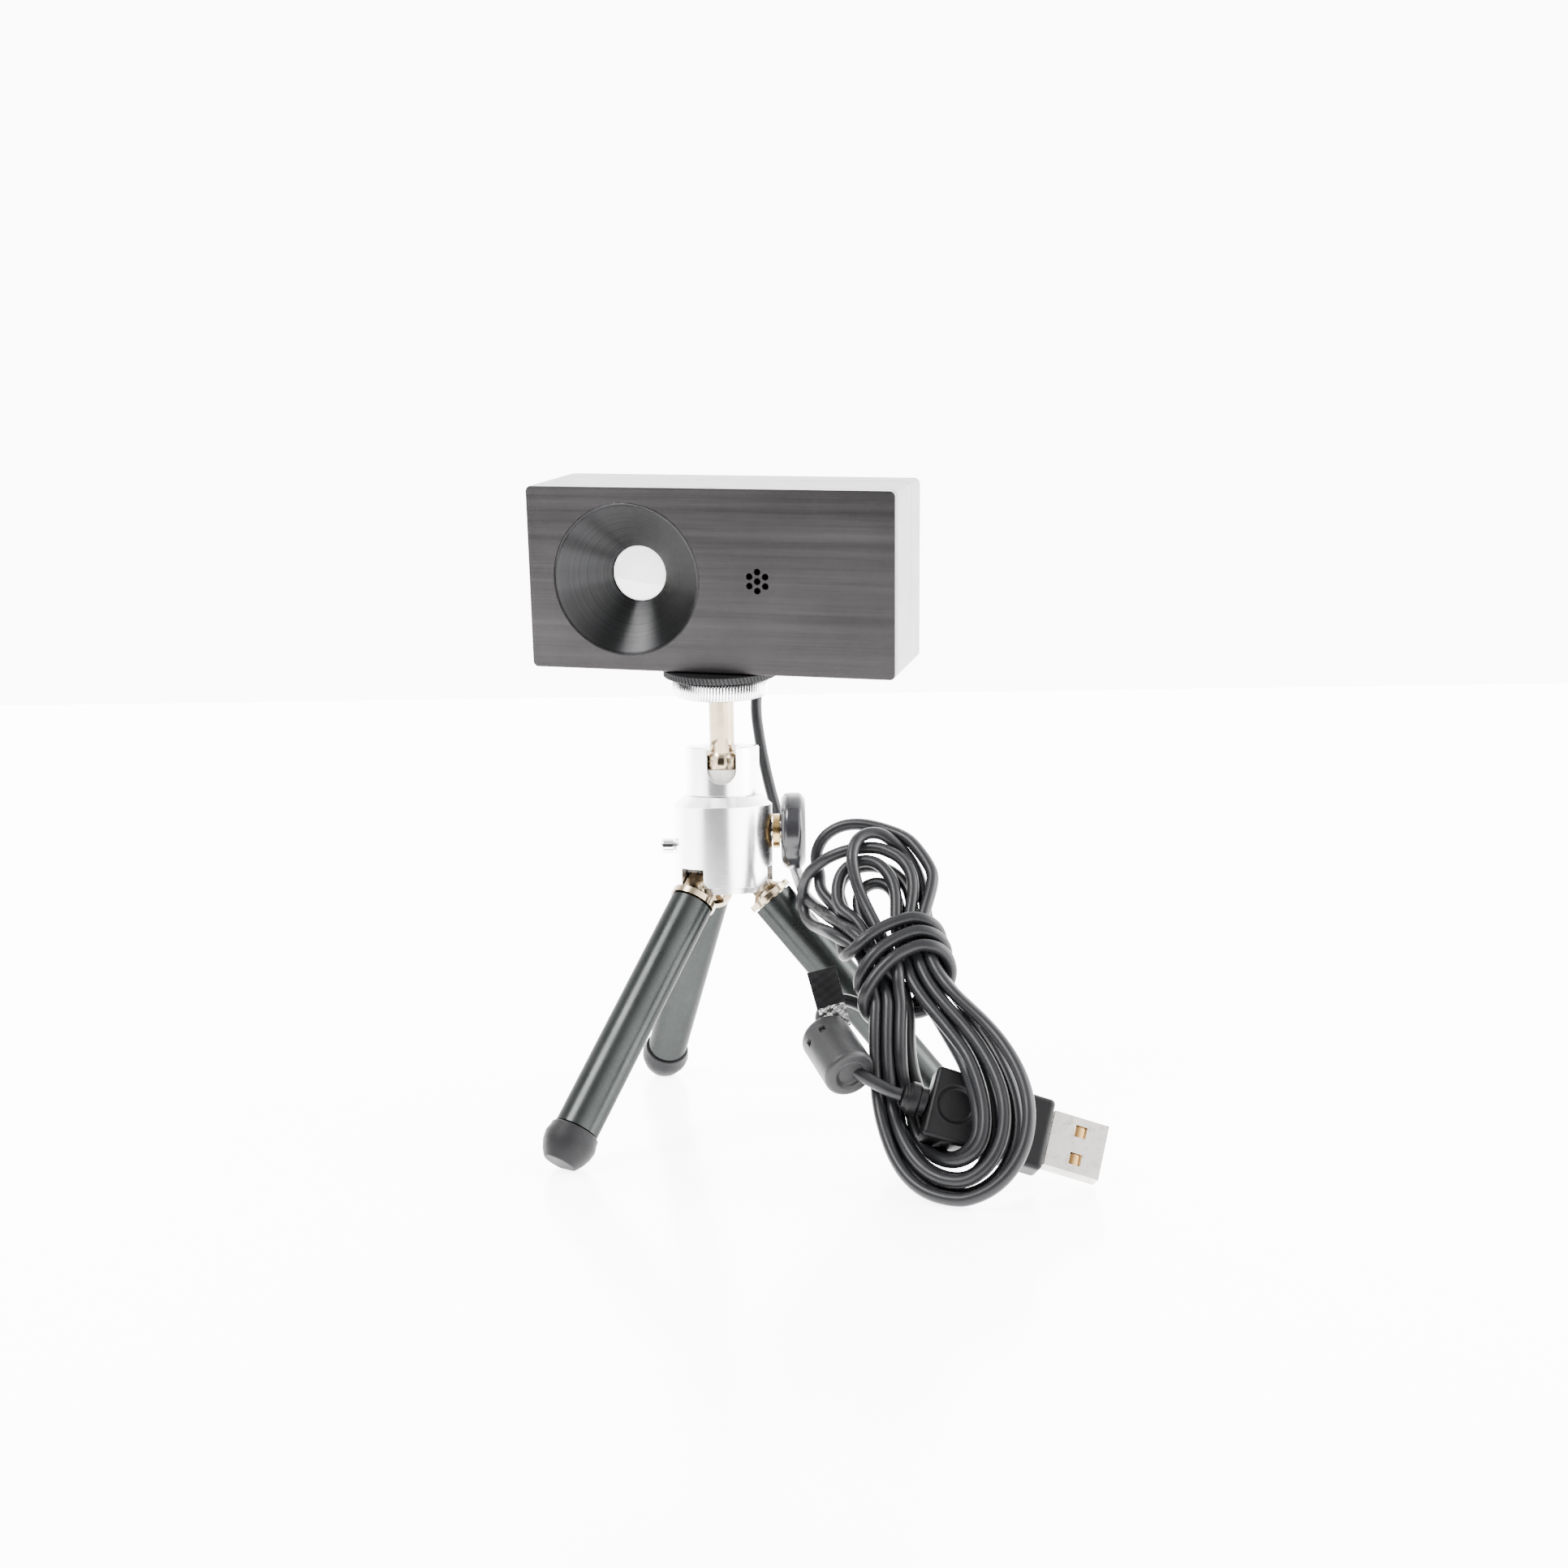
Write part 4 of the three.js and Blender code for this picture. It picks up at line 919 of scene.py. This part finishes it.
def ferrite_bead():
    """Barrel with a recessed end where the cable leaves and two small latch holes."""
    half = BEAD_HALF_LENGTH
    profile = rounded([
        (0, -half), (BEAD_RADIUS - 0.5, -half), (BEAD_RADIUS, -half + 0.8), (BEAD_RADIUS, half - 0.7),
        (BEAD_RADIUS - 0.6, half), (3.2, half), (2.7, half - 0.7), (0, half - 0.7),
    ], 0.45)
    dense = []
    for (r0, z0), (r1, z1) in zip(profile, profile[1:]):
        count = max(1, round(math.hypot(r1 - r0, z1 - z0) / 0.35))
        dense += [(r0 + (r1 - r0) * i / count, z0 + (z1 - z0) * i / count) for i in range(count)]
    dense.append(profile[-1])

    matrix = TRIPOD_FRAME @ Matrix.Translation(BEAD_CENTRE * MM) @ turned_to(BEAD_DIRECTION)
    seen = matrix.to_3x3().inverted() @ Vector((-0.8, -0.35, 0.5))
    face = math.atan2(seen.y, seen.x)

    def turned_by(angle, middle):
        return (angle - middle + math.pi) % (2 * math.pi) - math.pi

    def latch_holes(angle, height, radius):
        for middle, place in ((face - 0.5, -3.6), (face + 0.25, -3.6)):
            across = abs(turned_by(angle, middle)) * BEAD_RADIUS
            if across < 0.65 and abs(height - place) < 0.65 and radius > BEAD_RADIUS - 0.1:
                return radius - 0.8
        seam = abs(turned_by(angle, face + 1.2)) * BEAD_RADIUS < 0.15
        return radius - 0.15 if seam and radius > 4 else radius

    return piece(
        "bead_barrel", lathe(dense, 160, latch_holes), matrix, "black_plastic", "base", ["ferrite_bead"],
        material=FINISHES["bead_plastic"])


LABEL_CENTRE = Vector((23.2, -42, 39.5))
LABEL_SLANT = -15


def leaf(width, low, high, bend, crumple):
    """A thin leaf that hangs along Z and curls, as a closed skin 0.2 mm thick."""
    columns, rows = 14, 24
    corners = []
    for side in (-0.1, 0.1):
        for j in range(rows + 1):
            for i in range(columns + 1):
                x = width * (i / columns - 0.5)
                z = low + (high - low) * j / rows
                y = bend * ((x / width) ** 2 * 3 + math.sin(z * 0.35) * 0.6) + side
                y += crumple * (math.sin(x * 2.6 + z * 1.9) + math.sin(z * 3.7 - x * 1.4)) * 0.5
                corners.append((x, y, z))
    faces = []
    layer = (columns + 1) * (rows + 1)
    for j in range(rows):
        for i in range(columns):
            a = j * (columns + 1) + i
            square = (a, a + 1, a + columns + 2, a + columns + 1)
            faces.append(square)
            faces.append(tuple(layer + k for k in reversed(square)))
    edge = list(range(columns + 1))
    edge += [(j + 1) * (columns + 1) + columns for j in range(rows)]
    edge += [rows * (columns + 1) + i for i in reversed(range(columns))]
    edge += [j * (columns + 1) for j in reversed(range(1, rows))]
    for a, b in zip(edge, edge[1:] + edge[:1]):
        faces.append((b, a, layer + a, layer + b))
    return corners, faces


def flag_label():
    slant = Matrix.Rotation(math.radians(LABEL_SLANT), 4, "Y")
    matrix = TRIPOD_FRAME @ Matrix.Translation(LABEL_CENTRE * MM) @ slant
    film = piece("flag_film", leaf(6.4, -3.6, 4.6, 0.35, 0.03), matrix, "black_gloss", "base", ["flag_label"])
    foil = leaf(6.0, -9.0, -3.5, 0.35, 0.4)
    foil = piece("flag_foil", foil, matrix, "steel", "base", material=FINISHES["silver_foil"])
    return [film, foil]


# ---- Webcam pieces ----


def lens_cone():
    """Funnel with a rim lip and a seat for the window."""
    flange = PLATE_THICKNESS + GAP
    seat = CONE_DEPTH + 2.2
    rim = CONE_RADIUS + GAP - 0.06
    wall = []
    steps = 24
    for i in range(steps + 1):
        t = i / steps
        radius = CONE_RADIUS - 0.4 + (WINDOW_RADIUS + 0.4 - CONE_RADIUS) * t
        wall.append((radius, 0.35 + (CONE_DEPTH - 0.35) * t))
    profile = [
        (CONE_RADIUS, flange), (rim, flange - 0.3), (rim, 0.08), (rim - 0.15, 0), (CONE_RADIUS - 0.2, 0.1),
        *wall,
        (WINDOW_RADIUS + GAP, CONE_DEPTH + 0.4), (WINDOW_RADIUS + GAP, seat), (WINDOW_RADIUS + 1.6, seat),
        (WINDOW_RADIUS + 1.6, CONE_DEPTH + 0.6), (CONE_RADIUS - 1, flange + 1.2),
        (CONE_RADIUS + 1.6, flange + 1.2), (CONE_RADIUS + 1.6, flange), (CONE_RADIUS, flange),
    ]
    return piece(
        "lens_funnel", lathe(profile, 160), LENS_FRAME, "turned_dark", "webcam",
        ["lens_cone"], angle=25)


def lens_window():
    """Slightly domed round window."""
    front = CONE_DEPTH + 0.6
    profile = [(0, front - 0.4)]
    for i in range(1, 9):
        t = i / 8
        profile.append((t * (WINDOW_RADIUS - 0.15), front - 0.4 * (1 - t * t)))
    profile += [(WINDOW_RADIUS, front + 0.15), (WINDOW_RADIUS, front + 1.1), (0, front + 1.1)]
    # The window's near-white finish is a painted reflection of the bright room.
    return piece(
        "lens_dome", lathe(profile, 96), LENS_FRAME, "lens_glass", "webcam",
        ["lens_window"])


def cable_gland():
    """Tapered strain relief with rings moulded round it."""
    wall = BODY_DEPTH - 1.8
    profile = [
        (0, wall - 1.6), (3.4, wall - 1.6), (3.4, wall - GAP), (2.1, wall - GAP), (2.1, BODY_DEPTH + GAP),
        (3.3, BODY_DEPTH + GAP), (3.3, BODY_DEPTH + 1.3),
    ]
    rings = 5
    length = GLAND_LENGTH - 1.6
    for i in range(rings):
        start = BODY_DEPTH + 1.6 + length * i / rings
        outer = 3.0 - 1.0 * i / rings
        profile += [
            (outer - 0.6, start), (outer, start + 0.25), (outer, start + 0.9), (outer - 0.6, start + 1.15)]
    profile += [(1.7, BODY_DEPTH + GLAND_LENGTH), (0, BODY_DEPTH + GLAND_LENGTH)]
    return piece(
        "gland_relief", lathe(rounded(profile, 0.15, 3), 64), behind_front(GLAND_X, GLAND_Z), "rubber",
        "webcam", ["cable_gland"])


def seam_gasket():
    """Thin dark strip in the seam between the shell and the rear cover."""
    def outline(inset):
        half = (BODY_WIDTH / 2 - inset, BODY_HEIGHT / 2 - inset)
        radius = BODY_CORNER - 0.5 * inset
        points = []
        for quarter in range(4):
            side, end = (1, -1, -1, 1)[quarter], (1, 1, -1, -1)[quarter]
            for i in range(7):
                angle = math.pi / 2 * (quarter + i / 6)
                x = side * (half[0] - radius) + radius * math.cos(angle)
                points.append((x, end * (half[1] - radius) + radius * math.sin(angle)))
        return points

    levels = (SEAM_DEPTH - GAP + 0.04, SEAM_DEPTH - 0.04)
    corners = [(x, y, z) for z in levels for inset in (0.12, 1.4) for x, y in outline(inset)]
    count = len(corners) // 4
    faces = []
    for i in range(count):
        j = (i + 1) % count
        for a, b in ((0, 1), (1, 3), (3, 2), (2, 0)):
            faces.append((a * count + i, b * count + i, b * count + j, a * count + j))
    return piece("seam_gasket", (corners, faces), behind_front(0, BODY_HEIGHT / 2), "rubber", "webcam")


MIC_X = 11.7
MIC_Z = 21.6


def mic_cloth():
    """Dark woven disc between the front plate's holes and the microphone."""
    front = PLATE_THICKNESS + 0.5
    profile = rounded([(0, front), (3.1, front), (3.1, front + 0.5), (0, front + 0.5)], 0.15)
    return piece("mic_cloth", lathe(profile, 48), behind_front(MIC_X, MIC_Z), "rubber", "webcam")


# ---- Head pieces ----


def ball_stud():
    """Ball, post and threaded tip in one piece."""
    profile = [(0, -BALL_RADIUS)]
    neck = math.acos(POST_RADIUS / BALL_RADIUS)
    for i in range(1, 21):
        angle = -math.pi / 2 + i / 20 * (math.pi / 2 + neck)
        profile.append((BALL_RADIUS * math.cos(angle), BALL_RADIUS * math.sin(angle)))
    top = HEAD_RISE - GAP
    profile.append((POST_RADIUS, top))
    threads = 6
    for i in range(threads):
        start = top + i
        profile += [
            (POST_RADIUS - 0.45, start + 0.25), (POST_RADIUS, start + 0.6), (POST_RADIUS, start + 0.8)]
    profile.append((0, top + threads))
    return piece("ball_and_post", lathe(profile, 96), STUD_FRAME, "nickel", "stud", ["ball_stud"])


def rubber_pad():
    """Round pad with slanting ribs round its edge."""
    top = HEAD_RISE - GAP
    low = top - PAD_THICKNESS
    rim = [(PAD_RADIUS, low + (top - low) * i / 8) for i in range(9)]
    bore = POST_RADIUS + GAP
    edge = PAD_RADIUS - 0.3
    profile = [(bore, low), (edge, low), *rim, (edge, top), (bore, top), (bore, low)]

    def ribs(angle, height, radius):
        if radius < PAD_RADIUS - 0.1:
            return radius
        phase = PAD_RIBS * angle + (height - low) * 2.2
        return radius - 0.14 + 0.14 * math.cos(phase)

    # Painted shade: the valleys between the ribs get a darker colour than the crests.
    ribbed = with_painted_valley_shade(
        "ribbed rubber", STUD_FRAME, PAD_RADIUS, (0.002, 0.002, 0.0022), (0.016, 0.016, 0.017), (0.46, 0.6),
        0.0, Specular_IOR_Level=0.14)
    return piece(
        "ribbed_pad", lathe(profile, PAD_RIBS * 6, ribs), STUD_FRAME, "rubber", "stud", ["rubber_pad"],
        material=ribbed)


def lock_wheel():
    """Knurled locking wheel with a plain lip at each edge."""
    top = HEAD_RISE - 2 * GAP - PAD_THICKNESS
    low = top - WHEEL_THICKNESS
    bore = POST_RADIUS + GAP
    lip = WHEEL_RADIUS - 0.35
    profile = [
        (bore, low), (7.5, low), (7.8, low + 0.3), (lip - 0.5, low + 0.3), (lip, low + 0.5),
        (WHEEL_RADIUS, low + 0.75), (WHEEL_RADIUS, top - 0.75), (lip, top - 0.5), (lip - 0.5, top),
        (bore, top), (bore, low),
    ]

    def knurl(angle, height, radius):
        if radius < WHEEL_RADIUS - 0.05:
            return radius
        phase = (WHEEL_TEETH * angle / (2 * math.pi)) % 1
        return radius - 0.42 * abs(2 * phase - 1) ** 1.4

    # Painted shade: the valleys between the knurl's teeth get a darker colour than the teeth.
    knurled = with_painted_valley_shade(
        "knurled chrome", STUD_FRAME, WHEEL_RADIUS, (0.5, 0.5, 0.505), (0.97, 0.97, 0.97), (0.1, 0.18), 1.0)
    return piece(
        "knurled_wheel", lathe(profile, WHEEL_TEETH * 8, knurl), STUD_FRAME, "chrome", "wheel",
        ["lock_wheel"], material=knurled, angle=50)


def clamp_knob():
    """Round knob with softened rims and a shallow dish in its outer face."""
    outer = KNOB_THICKNESS
    profile = rounded([
        (2.5, 2.6), (2.5, 0), (KNOB_RADIUS - 1.4, 0), (KNOB_RADIUS, 1.2), (KNOB_RADIUS, outer - 1.2),
        (KNOB_RADIUS - 1.5, outer), (KNOB_RADIUS - 3.2, outer), (KNOB_RADIUS - 4.0, outer - 0.35),
        (0, outer - 0.35),
    ], 0.7, 6)
    matrix = Matrix.Translation(CLAMP) @ turned_to((1, 0, 0))
    return piece(
        "round_knob", lathe([(0, 2.6), *profile], 128), matrix, "black_plastic", "knob", ["clamp_knob"],
        material=FINISHES["knob_gloss"])


# ---- Carried-over CAD nodes ----

SOFT_EDGES = {
    "front_plate": 0.8, "housing_shell": 0.5, "rear_cover": 0.6, "clamp_collar": 0.25, "head_sleeve": 0.2,
    "leg_hub": 0.15, "usb_shell": 0.12, "guide_screw": 0.15, "clamp_bush": 0.1,
    **{f"leg_cap_{i}": 0.2 for i in (1, 2, 3)}, **{f"rubber_foot_{i}": 0.3 for i in (1, 2, 3)},
    **{f"leg_tube_{i}": 0.12 for i in (1, 2, 3)}, **{f"rear_screw_{i}": 0.15 for i in (1, 2, 3, 4)},
}
SLOT_OF = {subpart["node"]: subpart["material_slot"] for subpart in frame["record"]["subparts"]}
BODY_OF = {node: body for body, nodes in frame["record"]["behaviour"]["bodies"].items() for node in nodes}


def finish_nodes():
    """Gives every CAD node its finish."""
    for node, slot in SLOT_OF.items():
        mesh = frame["nodes"][node].data
        mesh.materials.clear()
        mesh.materials.append(FINISHES[slot])
        shade(mesh, 32)


TURNED_NODES = ("clamp_collar", "head_sleeve", "leg_hub")


def edge_share(node, place):
    """How much of the node's edge width an edge gets: the front plate's holes stay crisp."""
    if node != "front_plate":
        return 1.0
    local = WEBCAM_FRAME.inverted() @ place / MM
    near_lens = math.hypot(local.x - LENS_X, local.z - LENS_Z) < CONE_RADIUS + 2
    near_mic = math.hypot(local.x - MIC_X, local.z - MIC_Z) < 5
    return 0.1 if near_lens or near_mic else 1.0


def off_axis(place):
    """Level direction from the tripod's axis to a place."""
    return Vector((place.x - AXIS.x, place.y - AXIS.y, 0)).normalized()


def turned_normals(made):
    """The piece's mesh with its edges softened and its upright walls shaded as true cylinders."""
    state = bpy.context.evaluated_depsgraph_get()
    mesh = bpy.data.meshes.new_from_object(made.evaluated_get(state), depsgraph=state)
    normals = [corner.vector.copy() for corner in mesh.corner_normals]
    for face in mesh.polygons:
        away = off_axis(face.center)
        if abs(face.normal.dot(away)) < 0.99:
            continue
        side = 1 if face.normal.dot(away) > 0 else -1
        for index in face.loop_indices:
            normals[index] = off_axis(mesh.vertices[mesh.loops[index].vertex_index].co) * side
    mesh.normals_split_custom_set(normals)
    return mesh


def softened(node, width, turned):
    """A copy of a CAD node with welded, gently rounded edges."""
    mesh = bpy.data.meshes.new(node + "_fine")
    work = bmesh.new()
    work.from_mesh(frame["nodes"][node].data)
    bmesh.ops.remove_doubles(work, verts=work.verts, dist=0.002 * MM)
    bmesh.ops.dissolve_limit(work, angle_limit=math.radians(0.4), verts=work.verts, edges=work.edges)
    weights = work.edges.layers.float.new("bevel_weight_edge")
    for edge in work.edges:
        if edge.is_manifold and edge.calc_face_angle() > math.radians(38):
            edge[weights] = edge_share(node, (edge.verts[0].co + edge.verts[1].co) / 2)
    work.to_mesh(mesh)
    work.free()
    shade(mesh, 32)
    mesh.materials.append(turned if node in TURNED_NODES else FINISHES[SLOT_OF[node]])
    made = placed(node + "_fine", mesh)
    bevel = made.modifiers.new("soft edges", "BEVEL")
    bevel.width = width * MM
    bevel.segments = 3
    bevel.limit_method = "WEIGHT"
    bevel.harden_normals = True
    if node in TURNED_NODES:
        made.data = turned_normals(made)
        made.modifiers.clear()
    tag(made, [node], BODY_OF[node])
    return made


def soften_nodes():
    turned = satin_chrome()
    return {node: softened(node, width, turned) for node, width in SOFT_EDGES.items()}


# ---- Floor, light and camera ----


ROOM_STRENGTH = 11.0
ROOM_FRONT = (0.12, 0.12, 0.121)  # the room's darker side, in front of the part
FLOOR_HALF = 3.0
FLOOR_GLOW = 6.0  # the light that a pale sweep would send up
CARD_LEFT, CARD_RIGHT, CARD_LOW, CARD_HIGH = -0.56, 0.13, 0.0006, 0.42
CARD_AWAY, CARD_NEAR = -0.53, -0.27


def floor():
    material, _, shader = finish(
        "pale floor", (0.84, 0.84, 0.843), (0.86, 0.86, 0.863), (0.16, 0.22), grain=40.0, depth=0.0)
    shader.inputs["Emission Color"].default_value = (1, 1, 1, 1)
    shader.inputs["Emission Strength"].default_value = FLOOR_GLOW
    square = ((-1, -1), (1, -1), (1, 1), (-1, 1))
    corners = [(FLOOR_HALF * x, FLOOR_HALF * y, 0) for x, y in square]
    placed("floor", mesh_from("floor", corners, [(0, 1, 2, 3)], material))


def dark_card():
    """A dark card in front of the part, out of sight itself, that shows in the bright metal."""
    rows = ((CARD_NEAR, CARD_LOW), (CARD_AWAY, CARD_LOW), (CARD_AWAY, CARD_HIGH))
    corners = [(x, y, z) for y, z in rows for x in (CARD_LEFT, CARD_RIGHT)]
    cloth = finish(
        "dark cloth", (0.006, 0.0055, 0.0055), (0.009, 0.008, 0.008), (0.8, 0.9), Specular_IOR_Level=0.1)[0]
    made = placed("dark_card", mesh_from("dark_card", corners, [(0, 1, 3, 2), (2, 3, 5, 4)], cloth))
    made.visible_camera = False


def room():
    """A pale light tent, brightest at the back."""
    world = bpy.data.worlds.new("room")
    bpy.context.scene.world = world
    world.use_nodes = True
    tree = world.node_tree
    place = add(tree, "TexCoord").outputs["Generated"]
    split = add(tree, "SeparateXYZ", {0: place})
    back = mapped(tree, split.outputs["Y"], 0.0, 1.0, 0.2, 0.8)
    side = mapped(tree, split.outputs["X"], 0.0, 0.8, 0.1, 0.7)
    bright = math_node(tree, "MAXIMUM", back, side)
    shader = tree.nodes["Background"]
    feed(shader, "Color", mixed(tree, bright, ROOM_FRONT, (1.0, 1.0, 1.0)))
    shader.inputs["Strength"].default_value = ROOM_STRENGTH


def soft_light(name, location, target, size, power):
    light = bpy.data.lights.new(name, "AREA")
    light.shape = "RECTANGLE"
    light.size, light.size_y = size
    light.energy = power
    made = placed(name, light)
    made.location = location
    made.rotation_euler = (Vector(target) - Vector(location)).to_track_quat("-Z", "Y").to_euler()


CAMERA_PLACE = (7.69, -468.10, 118.32)
CAMERA_PITCH = 4.5716  # looks down
CAMERA_ROLL = -0.8205
CAMERA_LENS = 44.928


def camera():
    data = bpy.data.cameras.new("camera")
    data.lens = CAMERA_LENS
    data.sensor_width = 36
    made = placed("camera", data)
    bpy.context.scene.camera = made
    pitch = math.radians(CAMERA_PITCH)
    roll = math.radians(CAMERA_ROLL)
    forward = Vector((0, math.cos(pitch), -math.sin(pitch)))
    level = Vector((1, 0, 0))
    above = Vector((0, math.sin(pitch), math.cos(pitch)))
    right = level * math.cos(roll) + above * math.sin(roll)
    up = above * math.cos(roll) - level * math.sin(roll)
    turn = Matrix((right, up, -forward)).transposed().to_4x4()
    made.matrix_world = Matrix.Translation(Vector(CAMERA_PLACE) * MM) @ turn


# ---- Whole scene ----

camera()
finish_nodes()
fine = soften_nodes()
on_cable = [plug_moulding(), plug_relief(), usb_contacts(), usb_springs(), ferrite_bead(), *flag_label()]
on_cable += [fine["usb_shell"], frame["nodes"]["usb_tongue"]]
build_lead()
build_hank()
lens_cone()
lens_window()
cable_gland()
mic_cloth()
seam_gasket()
ball_stud()
rubber_pad()
lock_wheel()
clamp_knob()
floor()
dark_card()
room()
soft_light("key", (-0.5, -0.35, 0.75), (0, 0, 0.08), (0.4, 0.4), 20.0)
soft_light("side", (0.7, -0.1, 0.35), (0, 0, 0.1), (0.4, 0.6), 14.0)
